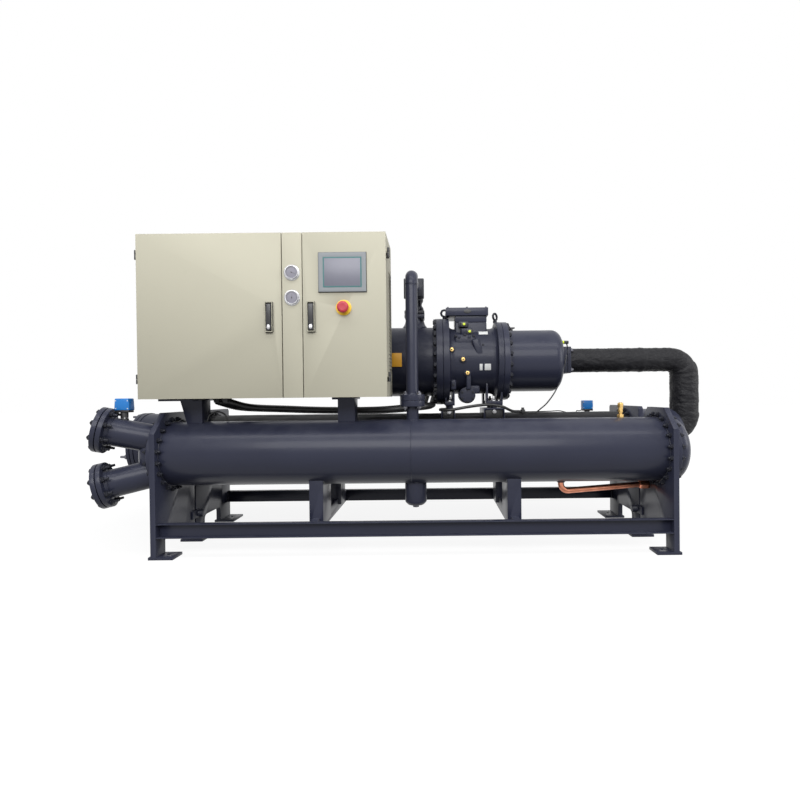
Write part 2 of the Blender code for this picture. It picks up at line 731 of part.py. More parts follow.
def make_condenser(paint, copper, brass):
    """Front shell with its heads, discharge stub, sump, liquid line and safety valve."""
    reach = SHEET_INNER - TOUCH
    axis = (depth(CONDENSER_AXIS), SHELL_HEIGHT)
    stub_place = (DISCHARGE_X, depth(CONDENSER_AXIS))
    stub = turned(
        [
            (0, 0), (0, DISCHARGE_RADIUS),
            (DISCHARGE_FLANGE_BOTTOM - SHELL_HEIGHT, DISCHARGE_RADIUS),
            (DISCHARGE_FLANGE_BOTTOM - SHELL_HEIGHT, DISCHARGE_FLANGE_RADIUS),
            (DISCHARGE_FLANGE_MIDDLE - SHELL_HEIGHT, DISCHARGE_FLANGE_RADIUS),
            (DISCHARGE_FLANGE_MIDDLE - SHELL_HEIGHT, 0),
        ],
        (*stub_place, SHELL_HEIGHT), (0, 0, 1), MEDIUM_SIDES,
    )
    piece(
        "condenser_shell", paint, rod((-reach, *axis), (reach, *axis), CONDENSER_RADIUS, LARGE_SIDES),
        joined=[stub],
    )
    piece("condenser_head_left", paint, head(-1))
    piece("condenser_head_right", paint, head(1))
    sump = turned(
        [
            (0, 0), (0, SUMP_RADIUS - SUMP_CHAMFER), (SUMP_CHAMFER, SUMP_RADIUS),
            (SUMP_REACH, SUMP_RADIUS), (SUMP_REACH, 0),
        ],
        (0.0, depth(CONDENSER_AXIS), SHELL_HEIGHT - SUMP_REACH), (0, 0, 1), MEDIUM_SIDES,
    )
    piece("condenser_sump", paint, sump, cut=[shell_cutter(CONDENSER_AXIS, CONDENSER_RADIUS)])
    make_liquid_line(copper)
    valve_place = (SAFETY_VALVE_X, depth(CONDENSER_AXIS))
    base_top = CONDENSER_RADIUS + SAFETY_VALVE_BASE_HEIGHT
    base_radius = SAFETY_VALVE_RADIUS + SAFETY_VALVE_BASE
    collar_bottom = SAFETY_VALVE_RISE - SAFETY_VALVE_COLLAR_HEIGHT
    collar_radius = SAFETY_VALVE_RADIUS + SAFETY_VALVE_COLLAR
    valve = turned(
        [
            (0, 0), (0, base_radius), (base_top, base_radius), (base_top, SAFETY_VALVE_RADIUS),
            (collar_bottom, SAFETY_VALVE_RADIUS), (collar_bottom, collar_radius),
            (SAFETY_VALVE_RISE, collar_radius), (SAFETY_VALVE_RISE, 0),
        ],
        (*valve_place, SHELL_HEIGHT), (0, 0, 1), SMALL_SIDES,
    )
    piece("safety_valve", brass, valve, cut=[shell_cutter(CONDENSER_AXIS, CONDENSER_RADIUS)])


def make_liquid_line(copper):
    """Copper pipe from the underside of the condenser to a nut on the right tube sheet."""
    run_height = SHELL_HEIGHT - LIQUID_DROP
    end_height = SHELL_HEIGHT - LIQUID_END_DROP
    corners = [
        Vector((LIQUID_START_X, depth(CONDENSER_AXIS), SHELL_HEIGHT - CONDENSER_RADIUS / 2)),
        Vector((LIQUID_START_X, depth(CONDENSER_AXIS), run_height)),
        Vector((SHEET_INNER - LIQUID_NUT_LENGTH, depth(LIQUID_END_DEPTH), end_height)),
        Vector((SHEET_INNER - TOUCH, depth(LIQUID_END_DEPTH), end_height)),
    ]
    path = [corners[0], *bend(corners[0], corners[1], corners[2], LIQUID_BEND, 5), *corners[2:]]
    nut = rod(corners[2], corners[3], LIQUID_NUT_RADIUS, 6)
    piece(
        "liquid_line", copper, swept(path, [LIQUID_RADIUS] * len(path), SMALL_SIDES),
        joined=[nut], cut=[shell_cutter(CONDENSER_AXIS, CONDENSER_RADIUS)],
    )


def flange_pair_profile(length):
    """Nozzle outline: pipe, its flange, the gasket line and the counter flange at the far end."""
    counter = length - WATER_FLANGE_THICKNESS
    gasket = counter - WATER_GASKET
    own = gasket - WATER_FLANGE_THICKNESS
    return [
        (0, NOZZLE_RADIUS), (own, NOZZLE_RADIUS), (own, WATER_FLANGE_RADIUS), (gasket, WATER_FLANGE_RADIUS),
        (gasket, WATER_GASKET_RADIUS), (counter, WATER_GASKET_RADIUS), (counter, WATER_FLANGE_RADIUS),
        (length, WATER_FLANGE_RADIUS),
    ]


def nozzle_shape(start, direction, length):
    """Solid nozzle, from inside the shell or head that it is welded to out to its flange face."""
    return turned([(0, 0), *flange_pair_profile(length), (length, 0)], start, direction, NOZZLE_SIDES)


def nozzle_bore(start, direction, length):
    """Water way of a nozzle, from end to end."""
    way = Vector(direction).normalized()
    first = Vector(start) - way * WATER_FLANGE_THICKNESS
    last = Vector(start) + way * (length + WATER_FLANGE_THICKNESS)
    return rod(first, last, NOZZLE_BORE, NOZZLE_SIDES)


def condenser_nozzle_direction(lift):
    """Direction of a condenser nozzle, which rises or falls and leans a little to the front."""
    level = math.cos(NOZZLE_RISE)
    across = -level * math.cos(NOZZLE_FORWARD)
    forward = -level * math.sin(NOZZLE_FORWARD)
    return Vector((across, forward, lift * math.sin(NOZZLE_RISE)))


def make_nozzles(paint, blue):
    """Water nozzles of both shells, and the flow switch that stands on one nozzle of each."""
    meeting = Vector((NOZZLE_MEETING_X, depth(CONDENSER_AXIS), SHELL_HEIGHT))
    for lift, label in ((1, "upper"), (-1, "lower")):
        way = condenser_nozzle_direction(lift)
        piece(
            f"condenser_nozzle_{label}", paint, nozzle_shape(meeting, way, NOZZLE_LENGTH),
            cut=[
                sheet_side_cutter(),
                head(-1, TOUCH),
                nozzle_bore(meeting, way, NOZZLE_LENGTH),
            ],
        )
    for side, label in ((-1, "left"), (1, "right")):
        start = Vector((side * EVAPORATOR_NOZZLE_X, depth(EVAPORATOR_AXIS), SHELL_HEIGHT))
        piece(
            f"evaporator_nozzle_{label}", paint, nozzle_shape(start, (0, 1, 0), EVAPORATOR_NOZZLE_REACH),
            cut=[
                shell_cutter(EVAPORATOR_AXIS, EVAPORATOR_RADIUS),
                nozzle_bore(start, (0, 1, 0), EVAPORATOR_NOZZLE_REACH),
            ],
        )
    way = condenser_nozzle_direction(1)
    upper_foot = meeting + way * (NOZZLE_LENGTH - CONDENSER_SWITCH_SETBACK)
    upper_pipe = rod(meeting, meeting + way * NOZZLE_LENGTH, NOZZLE_RADIUS + TOUCH, NOZZLE_SIDES)
    upper_top = upper_foot.z + NOZZLE_RADIUS / math.cos(NOZZLE_RISE)
    flow_switch("condenser_flow_switch", blue, upper_foot, upper_top + CONDENSER_SWITCH_STEM, upper_pipe)
    rear_start = Vector((EVAPORATOR_NOZZLE_X, depth(EVAPORATOR_AXIS), SHELL_HEIGHT))
    rear_end = rear_start + Vector((0, EVAPORATOR_NOZZLE_REACH, 0))
    rear_foot = rear_end - Vector((0, EVAPORATOR_SWITCH_SETBACK, 0))
    rear_pipe = rod(rear_start, rear_end, NOZZLE_RADIUS + TOUCH, NOZZLE_SIDES)
    rear_bottom = SHELL_HEIGHT + NOZZLE_RADIUS + EVAPORATOR_SWITCH_STEM
    flow_switch("evaporator_flow_switch", blue, rear_foot, rear_bottom, rear_pipe)


def flow_switch(name, finish, foot, bottom, pipe):
    """Flow switch: a capped housing on a stem that stands on a water pipe."""
    half = SWITCH_WIDTH / 2
    half_top = SWITCH_TOP_WIDTH / 2
    outline = [
        (foot.x - half, bottom), (foot.x + half, bottom),
        (foot.x + half_top, bottom + SWITCH_HEIGHT), (foot.x - half_top, bottom + SWITCH_HEIGHT),
    ]
    housing = prism(outline, 1, foot.y - SWITCH_DEPTH / 2, foot.y + SWITCH_DEPTH / 2)
    stem = rod(foot, (foot.x, foot.y, bottom + SWITCH_HEIGHT / 2), SWITCH_STEM_RADIUS, SMALL_SIDES)
    piece(name, finish, housing, joined=[stem], cut=[pipe])


def sheet_side_cutter():
    """Everything to the right of the left sheet's outer face, where no nozzle reaches."""
    reach = SHEET_SPAN / 4
    return block(
        (-SHEET_OUTER - TOUCH, depth(CONDENSER_AXIS - reach), SHELL_HEIGHT - reach),
        (SHEET_OUTER, depth(CONDENSER_AXIS + reach), SHELL_HEIGHT + reach),
    )


def make_evaporator(foam, paint):
    """Rear shell in its foam jacket, with its heads."""
    reach = SHEET_INNER - TOUCH
    axis = (depth(EVAPORATOR_AXIS), SHELL_HEIGHT)
    piece("evaporator_shell", foam, rod((-reach, *axis), (reach, *axis), EVAPORATOR_RADIUS, LARGE_SIDES))
    piece("evaporator_head_left", paint, barrel(-1, covered_barrel()), joined=cover_studs())
    piece("evaporator_head_right", paint, barrel(1, rounded_barrel()))


def compressor_turned(profile, start_x):
    """Turned part of the compressor, with its profile measured to the right from one place."""
    start = (start_x, depth(EVAPORATOR_AXIS), COMPRESSOR_HEIGHT)
    return turned(profile, start, (1, 0, 0), LARGE_SIDES)


def dished(length, radius, rounding):
    """Rounded far end of a turned profile that is as long as its first value."""
    points = []
    for step in range(DOME_STEPS + 1):
        angle = math.pi / 2 * step / DOME_STEPS
        across = radius - rounding + rounding * math.cos(angle)
        points.append((length - rounding + rounding * math.sin(angle), across))
    points.append((length, 0))
    return points


def make_compressor(paint, dark):
    """Oil separator, compressor body and motor housing in one line, with feet, box and saddles."""
    middle = depth(EVAPORATOR_AXIS)
    flange_joint = BODY_FLANGE_START + BODY_FLANGE_THICKNESS
    separator_length = flange_joint - TOUCH - SEPARATOR_START
    dome = [
        (
            SEPARATOR_DISH * (1 - math.cos(math.pi / 2 * step / DOME_STEPS)),
            SEPARATOR_RADIUS * math.sin(math.pi / 2 * step / DOME_STEPS),
        )
        for step in range(DOME_STEPS + 1)
    ]
    seat = VALVE_SEAT - COMPRESSOR_HEIGHT
    neck = turned(
        [
            (0, 0), (0, VALVE_NECK_FLARE), (SEPARATOR_RADIUS, VALVE_NECK_FLARE),
            (SEPARATOR_RADIUS + VALVE_NECK_FLARE_HEIGHT, VALVE_NECK_RADIUS),
            (seat - VALVE_FLANGE_THICKNESS, VALVE_NECK_RADIUS),
            (seat - VALVE_FLANGE_THICKNESS, VALVE_FLANGE_SIZE / 2),
            (seat, VALVE_FLANGE_SIZE / 2), (seat, 0),
        ],
        (DISCHARGE_X, middle, COMPRESSOR_HEIGHT), (0, 0, 1), MEDIUM_SIDES,
    )
    piece(
        "oil_separator", paint,
        compressor_turned(
            [
                *dome,
                (BODY_FLANGE_START - SEPARATOR_START, SEPARATOR_RADIUS),
                (BODY_FLANGE_START - SEPARATOR_START, BODY_FLANGE_RADIUS),
                (separator_length, BODY_FLANGE_RADIUS),
                (separator_length, 0),
            ],
            SEPARATOR_START,
        ),
        joined=[neck],
    )
    make_compressor_body(paint, flange_joint, middle)
    motor_joint = BODY_END + MOTOR_FLANGE_THICKNESS
    motor_length = MOTOR_END - motor_joint - TOUCH
    piece(
        "motor_housing", paint,
        compressor_turned(
            [
                (0, 0), (0, MOTOR_FLANGE_RADIUS), (MOTOR_FLANGE_THICKNESS, MOTOR_FLANGE_RADIUS),
                (MOTOR_FLANGE_THICKNESS, MOTOR_RADIUS),
                *dished(motor_length, MOTOR_RADIUS, MOTOR_ROUNDING),
            ],
            motor_joint + TOUCH,
        ),
    )
    make_suction_flange(paint, middle)
    make_terminal_box(paint, dark, middle)
    for label, place, ends in (("left", BODY_START, LEFT_SADDLE), ("right", BODY_END, RIGHT_SADDLE)):
        make_saddle(f"compressor_saddle_{label}", paint, place + ends[0], place + ends[1])


def compressor_foot(start_x, end_x, across):
    """One foot: a bush on the saddle, a plate and two gussets that rise into the body."""
    half = FOOT_PLATE_WIDTH / 2
    plate = block((start_x, across - half, FOOT_PLATE_BOTTOM), (end_x, across + half, FOOT_PLATE_TOP))
    middle_x = (start_x + end_x) / 2
    bush = rod(
        (middle_x, across, SADDLE_TOP + TOUCH), (middle_x, across, FOOT_PLATE_BOTTOM + GUSSET_THICKNESS),
        FOOT_BUSH_RADIUS, SMALL_SIDES,
    )
    gussets = []
    for x in (start_x + TOUCH, end_x - GUSSET_THICKNESS - TOUCH):
        gussets.append(block(
            (x, across - half + TOUCH, FOOT_PLATE_TOP - GUSSET_THICKNESS / 2),
            (x + GUSSET_THICKNESS, across + half - TOUCH, COMPRESSOR_HEIGHT - GUSSET_TOP_DROP),
        ))
    return [bush, plate, *gussets]


def make_compressor_body(paint, flange_joint, middle):
    """Cast body between its two flanges, with four feet, the box pad, ports and the filter cover."""
    joined = []
    for place, ends in ((BODY_START, LEFT_FOOT), (BODY_END, RIGHT_FOOT)):
        for sign in (-1, 1):
            joined += compressor_foot(place + ends[0], place + ends[1], middle + sign * FOOT_PLATE_SPREAD / 2)
    cover_height = COMPRESSOR_HEIGHT - BODY_RADIUS - FILTER_COVER_DROP
    joined.append(rod(
        (FILTER_COVER_X, middle, cover_height),
        (FILTER_COVER_X, middle - FILTER_COVER_REACH, cover_height), FILTER_COVER_RADIUS,
    ))
    for along_body, rise in PORT_PLACES:
        x = BODY_START + along_body
        height = COMPRESSOR_HEIGHT + rise
        surface = math.sqrt(BODY_RADIUS ** 2 - rise ** 2)
        face = middle - surface - PORT_BOSS
        joined.append(rod((x, middle, height), (x, face, height), PORT_RADIUS, SMALL_SIDES))
    half_box = TERMINAL_BOX_DEPTH / 2
    joined.append(block(
        (TERMINAL_BOX_START, middle - half_box, COMPRESSOR_HEIGHT),
        (TERMINAL_BOX_END, middle + half_box, TERMINAL_PAD_TOP),
    ))
    body_length = BODY_END + MOTOR_FLANGE_THICKNESS - flange_joint
    piece(
        "compressor_body", paint,
        compressor_turned(
            [
                (0, 0), (0, BODY_FLANGE_RADIUS),
                (BODY_START - flange_joint, BODY_FLANGE_RADIUS), (BODY_START - flange_joint, BODY_RADIUS),
                (BODY_END - flange_joint, BODY_RADIUS), (BODY_END - flange_joint, MOTOR_FLANGE_RADIUS),
                (body_length, MOTOR_FLANGE_RADIUS), (body_length, 0),
            ],
            flange_joint,
        ),
        joined=joined,
    )


def make_suction_flange(paint, middle):
    """Neck and square flange pair at the motor's end, where the suction pipe is bolted on."""
    half = SUCTION_FLANGE_SIZE / 2
    neck = rod(
        (MOTOR_END + TOUCH, middle, COMPRESSOR_HEIGHT),
        (SUCTION_FLANGE_START + TOUCH, middle, COMPRESSOR_HEIGHT), SUCTION_NECK_RADIUS,
    )
    plates = block(
        (SUCTION_FLANGE_START, middle - half, COMPRESSOR_HEIGHT - half),
        (SUCTION_FLANGE_END, middle + half, COMPRESSOR_HEIGHT + half),
    )
    piece("suction_flange", paint, plates, joined=[neck])


def make_terminal_box(paint, dark, middle):
    """Terminal box on the body's pad, under a lid that stands proud of it."""
    half = TERMINAL_BOX_DEPTH / 2
    lid_half = half + TERMINAL_LID_MARGIN
    box = block(
        (TERMINAL_BOX_START, middle - half, TERMINAL_PAD_TOP + TOUCH),
        (TERMINAL_BOX_END, middle + half, TERMINAL_LID_BOTTOM + TERMINAL_LID_MARGIN),
    )
    lid = block(
        (TERMINAL_LID_START, middle - lid_half, TERMINAL_LID_BOTTOM),
        (TERMINAL_LID_END, middle + lid_half, TERMINAL_LID_BOTTOM + TERMINAL_LID_HEIGHT),
    )
    piece("terminal_box", paint, lid, joined=[box])


def make_saddle(name, paint, start, end):
    """Channel across the evaporator that carries two of the compressor's feet."""
    front = EVAPORATOR_AXIS - SADDLE_WIDTH / 2
    rear = EVAPORATOR_AXIS + SADDLE_WIDTH / 2
    under = SADDLE_TOP - SADDLE_PLATE
    outline = [
        (start, SHELL_HEIGHT), (start, SADDLE_TOP), (end, SADDLE_TOP), (end, SHELL_HEIGHT),
        (end - SADDLE_PLATE, SHELL_HEIGHT), (end - SADDLE_PLATE, under),
        (start + SADDLE_PLATE, under), (start + SADDLE_PLATE, SHELL_HEIGHT),
    ]
    piece(
        name, paint, prism(outline, 1, depth(front), depth(rear)),
        cut=[shell_cutter(EVAPORATOR_AXIS, EVAPORATOR_RADIUS)],
    )


def make_discharge_line(paint, dark):
    """Valve on the separator, elbow to the front and riser down to the condenser's stub."""
    middle = depth(EVAPORATOR_AXIS)
    front = depth(CONDENSER_AXIS)
    half = VALVE_FLANGE_SIZE / 2
    seat = VALVE_SEAT + TOUCH
    waist = VALVE_WAIST_RISE
    length = VALVE_LENGTH
    body = turned(
        [
            (0, 0), (0, half), (VALVE_FLANGE_THICKNESS, half), (VALVE_FLANGE_THICKNESS, VALVE_NECK_RADIUS),
            (waist - VALVE_ROUNDING, VALVE_NECK_RADIUS), (waist, VALVE_WAIST_RADIUS),
            (waist + VALVE_ROUNDING, VALVE_BODY_RADIUS), (length - VALVE_ROUNDING, VALVE_BODY_RADIUS),
            (length - TOUCH, VALVE_WAIST_RADIUS), (length - TOUCH, 0),
        ],
        (DISCHARGE_X, middle, seat), (0, 0, 1), MEDIUM_SIDES,
    )
    low = VALVE_TOP - VALVE_FLANGE_SIZE
    face_outline = [
        (DISCHARGE_X - half, low), (DISCHARGE_X + half, low),
        (DISCHARGE_X + half, VALVE_TOP - VALVE_ROUNDING), (DISCHARGE_X + half - VALVE_ROUNDING, VALVE_TOP),
        (DISCHARGE_X - half + VALVE_ROUNDING, VALVE_TOP), (DISCHARGE_X - half, VALVE_TOP - VALVE_ROUNDING),
    ]
    face_y = depth(VALVE_FACE_DEPTH)
    face = prism(face_outline, 1, face_y, face_y + VALVE_FLANGE_THICKNESS)
    outlet = rod(
        (DISCHARGE_X, middle, DISCHARGE_TOP), (DISCHARGE_X, face_y + TOUCH, DISCHARGE_TOP), VALVE_OUTLET_RADIUS,
    )
    piece("discharge_valve", dark, body, joined=[outlet, face])
    riser_top = DISCHARGE_TOP - DISCHARGE_BEND - ELBOW_STRAIGHT
    path = routed(
        [
            (DISCHARGE_X, front, riser_top),
            (DISCHARGE_X, front, DISCHARGE_TOP),
            (DISCHARGE_X, depth(VALVE_FACE_DEPTH) - TOUCH, DISCHARGE_TOP),
        ],
        DISCHARGE_BEND,
    )
    piece("discharge_elbow", paint, swept(path, [DISCHARGE_RADIUS] * len(path)))
    length = riser_top - TOUCH - DISCHARGE_FLANGE_MIDDLE
    flange = DISCHARGE_FLANGE_TOP - DISCHARGE_FLANGE_MIDDLE
    piece(
        "discharge_riser", paint,
        turned(
            [
                (0, 0), (0, DISCHARGE_FLANGE_RADIUS), (flange, DISCHARGE_FLANGE_RADIUS),
                (flange, DISCHARGE_RADIUS), (length - TOUCH, DISCHARGE_RADIUS), (length - TOUCH, 0),
            ],
            (DISCHARGE_X, front, DISCHARGE_FLANGE_MIDDLE + TOUCH), (0, 0, 1), MEDIUM_SIDES,
        ),
    )


def make_suction_pipe(foam):
    """Insulated suction pipe from the evaporator's right head up, back and into the motor's end."""
    middle = depth(EVAPORATOR_AXIS)
    corners = [
        Vector((SHEET_OUTER + BARREL_FLANGE_THICKNESS, middle, SUCTION_OUTLET_HEIGHT)),
        Vector((SUCTION_X, middle, SUCTION_OUTLET_HEIGHT)),
        Vector((SUCTION_X, middle, COMPRESSOR_HEIGHT)),
        Vector((SUCTION_FLANGE_END + TOUCH, middle, COMPRESSOR_HEIGHT)),
    ]
    lower = bend(*corners[:3], SUCTION_LOWER_BEND, BEND_STEPS)
    upper = bend(*corners[1:], SUCTION_UPPER_BEND, BEND_STEPS)
    radii = [SUCTION_DROP_RADIUS] * (1 + len(lower))
    for step in range(len(upper)):
        share = step / BEND_STEPS
        radii.append(SUCTION_DROP_RADIUS + (SUCTION_RADIUS - SUCTION_DROP_RADIUS) * share)
    radii.append(SUCTION_RADIUS)
    path = [corners[0], *lower, *upper, corners[-1]]
    piece(
        "suction_pipe", foam, swept(path, radii, MEDIUM_SIDES),
        cut=[barrel(1, rounded_barrel(TOUCH))],
    )


def make_cabinet(beige, dark, steel):
    """Cabinet shell with its hinge pins, front frame, mounting plate, centre strip and brackets."""
    inner_left = CABINET_LEFT + CABINET_SHEET
    inner_right = CABINET_RIGHT - CABINET_SHEET
    inner_bottom = CABINET_BOTTOM + CABINET_SHEET
    inner_top = CABINET_TOP - CABINET_SHEET
    hinges = []
    for side, edge in ((-1, CABINET_LEFT), (1, CABINET_RIGHT)):
        for height in hinge_heights():
            hinges += fixed_hinge(side, edge, height)
    outside = block(
        (CABINET_LEFT, depth(CABINET_FRONT), CABINET_BOTTOM),
        (CABINET_RIGHT, depth(CABINET_DEPTH), CABINET_TOP),
    )
    inside = block(
        (inner_left, depth(CABINET_FRONT - CABINET_CUTTER_REACH), inner_bottom),
        (inner_right, depth(CABINET_DEPTH - CABINET_SHEET), inner_top),
    )
    piece("cabinet_shell", beige, outside, joined=hinges, cut=[inside])
    frame_front = CABINET_FRONT + FRAME_STEP
    ring = block(
        (inner_left + TOUCH, depth(frame_front), inner_bottom + TOUCH),
        (inner_right - TOUCH, depth(frame_front + CABINET_SHEET), inner_top - TOUCH),
    )
    openings = []
    for start, end in door_openings():
        openings.append(block(
            (start, depth(0.0), inner_bottom + FRAME_WIDTH), (end, depth(CABINET_DEPTH), inner_top - FRAME_WIDTH),
        ))
    piece("cabinet_frame", beige, ring, cut=openings)
    strip = block(
        (STRIP_START, depth(0.0), CABINET_BOTTOM), (STRIP_END, depth(CABINET_FRONT - TOUCH), CABINET_TOP),
    )
    strip_web = block(
        (STRIP_START + RUNNING, depth(CABINET_FRONT / 2), inner_bottom + RUNNING),
        (STRIP_END - RUNNING, depth(frame_front - TOUCH), inner_top - RUNNING),
    )
    piece("centre_strip", beige, strip, joined=[strip_web])
    make_mounting_plate(steel, inner_left, inner_right, inner_bottom, inner_top)
    make_bracket(
        "cabinet_bracket_left", dark, CABINET_LEFT, LEFT_BRACKET_PLATE, LEFT_BRACKET_TOP, LEFT_BRACKET_FOOT,
    )
    make_bracket(
        "cabinet_bracket_right", dark, CABINET_RIGHT, RIGHT_BRACKET_PLATE, RIGHT_BRACKET_FOOT,
        RIGHT_BRACKET_FOOT,
    )


def hinge_heights():
    """Heights of the middles of a door's two hinges."""
    return CABINET_BOTTOM + HINGE_INSET, CABINET_TOP - HINGE_INSET


def door_openings():
    """Start and end in X of the two openings in the cabinet's front frame."""
    return (
        (CABINET_LEFT + CABINET_SHEET + FRAME_WIDTH, STRIP_START - FRAME_STEP),
        (STRIP_END + FRAME_STEP, CABINET_RIGHT - CABINET_SHEET - FRAME_WIDTH),
    )


def hinge_axis(side):
    """X and Y of a door's hinge axis, outside the cabinet's side at the back of the door."""
    edge = CABINET_LEFT if side < 0 else CABINET_RIGHT
    return edge + side * HINGE_OFFSET, depth(DOOR_THICKNESS)


def fixed_hinge(side, edge, height):
    """Lower knuckle with its pin, and the bracket that holds it to the cabinet's side."""
    x, y = hinge_axis(side)
    low = height - HINGE_HEIGHT / 2
    bracket_x = sorted((x + side * HINGE_RADIUS / 2, edge - side * CABINET_SHEET / 2))
    bracket = block(
        (bracket_x[0], depth(CABINET_FRONT), low),
        (bracket_x[1], depth(CABINET_FRONT) + 2 * HINGE_OFFSET, height - TOUCH),
    )
    knuckle = rod((x, y, low), (x, y, height - TOUCH), HINGE_RADIUS, SMALL_SIDES)
    pin = rod((x, y, low + HINGE_RADIUS), (x, y, height + HINGE_HEIGHT / 2), HINGE_PIN_RADIUS, 8)
    return [bracket, knuckle, pin]


def make_mounting_plate(steel, inner_left, inner_right, inner_bottom, inner_top):
    """Mounting plate on four standoffs from the back wall."""
    back = CABINET_DEPTH - CABINET_SHEET
    front = back - MOUNTING_PLATE_STANDOFF
    left = inner_left + MOUNTING_PLATE_MARGIN
    right = inner_right - MOUNTING_PLATE_MARGIN
    bottom = inner_bottom + MOUNTING_PLATE_MARGIN
    top = inner_top - MOUNTING_PLATE_MARGIN
    standoffs = []
    for x in (left + MOUNTING_PLATE_MARGIN, right - MOUNTING_PLATE_MARGIN):
        for z in (bottom + MOUNTING_PLATE_MARGIN, top - MOUNTING_PLATE_MARGIN):
            standoffs.append(rod(
                (x, depth(front + CABINET_SHEET / 2), z), (x, depth(back - TOUCH), z), STANDOFF_RADIUS, 8,
            ))
    plate = block((left, depth(front), bottom), (right, depth(front + CABINET_SHEET), top))
    piece("mounting_plate", steel, plate, joined=standoffs)


def make_bracket(name, finish, edge, plate_ends, top_ends, foot_ends):
    """Pedestal on the condenser with the plate that the cabinet stands on, measured from one edge of it."""
    neck = SHELL_TOP - BRACKET_NECK_DROP
    plate_top = CABINET_BOTTOM - TOUCH
    plate_bottom = plate_top - BRACKET_PLATE
    body_top = plate_bottom + BRACKET_PLATE / 2
    foot_left, foot_right = (edge + end for end in foot_ends)
    top_left, top_right = (edge + end for end in top_ends)
    plate_left, plate_right = (edge + end for end in plate_ends)
    outline = [
        (foot_left, SHELL_HEIGHT), (foot_right, SHELL_HEIGHT), (foot_right, neck),
        (top_right - TOUCH, body_top), (top_left, body_top), (foot_left, neck),
    ]
    middle_depth = (CABINET_FRONT + CABINET_DEPTH) / 2
    plate = block(
        (plate_left, depth(middle_depth - BRACKET_PLATE_DEPTH / 2), plate_bottom),
        (plate_right, depth(middle_depth + BRACKET_PLATE_DEPTH / 2), plate_top),
    )
    half = BRACKET_BODY_DEPTH / 2
    body = prism(outline, 1, depth(CONDENSER_AXIS - half), depth(CONDENSER_AXIS + half))
    piece(name, finish, body, joined=[plate], cut=[shell_cutter(CONDENSER_AXIS, CONDENSER_RADIUS)])


def make_door(name, beige, side, start, end, lock_x, extra_cuts=()):
    """Door tray with its lock dish and two hinge knuckles, turning on an empty at the hinge axis."""
    x, y = hinge_axis(side)
    pivot = axis_point(f"{name}_axis", (x, y, CABINET_BOTTOM))
    low, high = (start, depth(0.0), CABINET_BOTTOM), (end, depth(DOOR_THICKNESS), CABINET_TOP)
    edge = start if side < 0 else end
    joined = []
    for height in hinge_heights():
        joined += door_hinge(side, edge, height)
    joined.append(block(
        (lock_x - LOCK_WIDTH / 2, depth(-LOCK_DEPTH), LOCK_HEIGHT - LOCK_LENGTH / 2),
        (lock_x + LOCK_WIDTH / 2, depth(DOOR_SKIN / 2), LOCK_HEIGHT + LOCK_LENGTH / 2),
    ))
    recess = block(
        (start + DOOR_RIM, depth(DOOR_SKIN), CABINET_BOTTOM + DOOR_RIM),
        (end - DOOR_RIM, depth(DOOR_THICKNESS + RUNNING), CABINET_TOP - DOOR_RIM),
    )
    dish = block(
        (lock_x - LOCK_WIDTH / 2 + LOCK_RIM, depth(-2 * LOCK_DEPTH), LOCK_HEIGHT - LOCK_LENGTH / 2 + LOCK_RIM),
        (lock_x + LOCK_WIDTH / 2 - LOCK_RIM, depth(-TOUCH), LOCK_HEIGHT + LOCK_LENGTH / 2 - LOCK_RIM),
    )
    bores = []
    for height in hinge_heights():
        bores.append(rod(
            (x, y, height - HINGE_HEIGHT / 2), (x, y, height + HINGE_HEIGHT),
            HINGE_PIN_RADIUS + PIN_CLEARANCE, 8,
        ))
    door = piece(
        name, beige, block(low, high), origin=(x, y, CABINET_BOTTOM),
        joined=joined,
        cut=[recess, dish, *bores, *extra_cuts], parent=pivot,
    )
    return pivot, door


def door_hinge(side, edge, height):
    """Upper knuckle of a hinge and the leaf that holds it to the door's edge."""
    x, y = hinge_axis(side)
    top = height + HINGE_HEIGHT / 2
    leaf_x = sorted((x, edge - side * DOOR_RIM / 2))
    leaf = block((leaf_x[0], y - HINGE_LEAF, height + TOUCH), (leaf_x[1], y, top))
    knuckle = rod((x, y, height + TOUCH), (x, y, top), HINGE_RADIUS, SMALL_SIDES)
    return [leaf, knuckle]


def lever_pivot(lock_x):
    """Place of a lock lever's pin."""
    lever_top = LOCK_HEIGHT + LEVER_LENGTH / 2
    return Vector((lock_x, depth(-RUNNING - LEVER_THICKNESS / 2), lever_top - LEVER_THICKNESS / 2))


def make_lock_lever(name, black, lock_x, parent):
    """Lock lever, hung on its own pin near its top, whose ends run in the dish's sides."""
    pivot = lever_pivot(lock_x)
    lever_bottom = LOCK_HEIGHT - LEVER_LENGTH / 2
    round_end = [
        (
            pivot.y - LEVER_THICKNESS / 2 * math.cos(math.pi * step / 8),
            pivot.z + LEVER_THICKNESS / 2 * math.sin(math.pi * step / 8),
        )
        for step in range(9)
    ]
    outline = [
        (pivot.y - LEVER_THICKNESS / 2, lever_bottom), *round_end, (pivot.y + LEVER_THICKNESS / 2, lever_bottom),
    ]
    lever = prism(outline, 0, lock_x - LEVER_WIDTH / 2, lock_x + LEVER_WIDTH / 2)
    reach = LOCK_WIDTH / 2 - LOCK_RIM / 2
    pin = rod((lock_x - reach, pivot.y, pivot.z), (lock_x + reach, pivot.y, pivot.z), LEVER_PIN_RADIUS, 8)
    axis = axis_point(f"{name}_axis", pivot)
    axis.parent = parent
    axis.matrix_parent_inverse = Matrix.Translation(-parent.location)
    result = piece(name, black, lever, origin=pivot, joined=[pin])
    result.parent = axis
    result.matrix_parent_inverse = Matrix.Translation(-pivot)
    return result


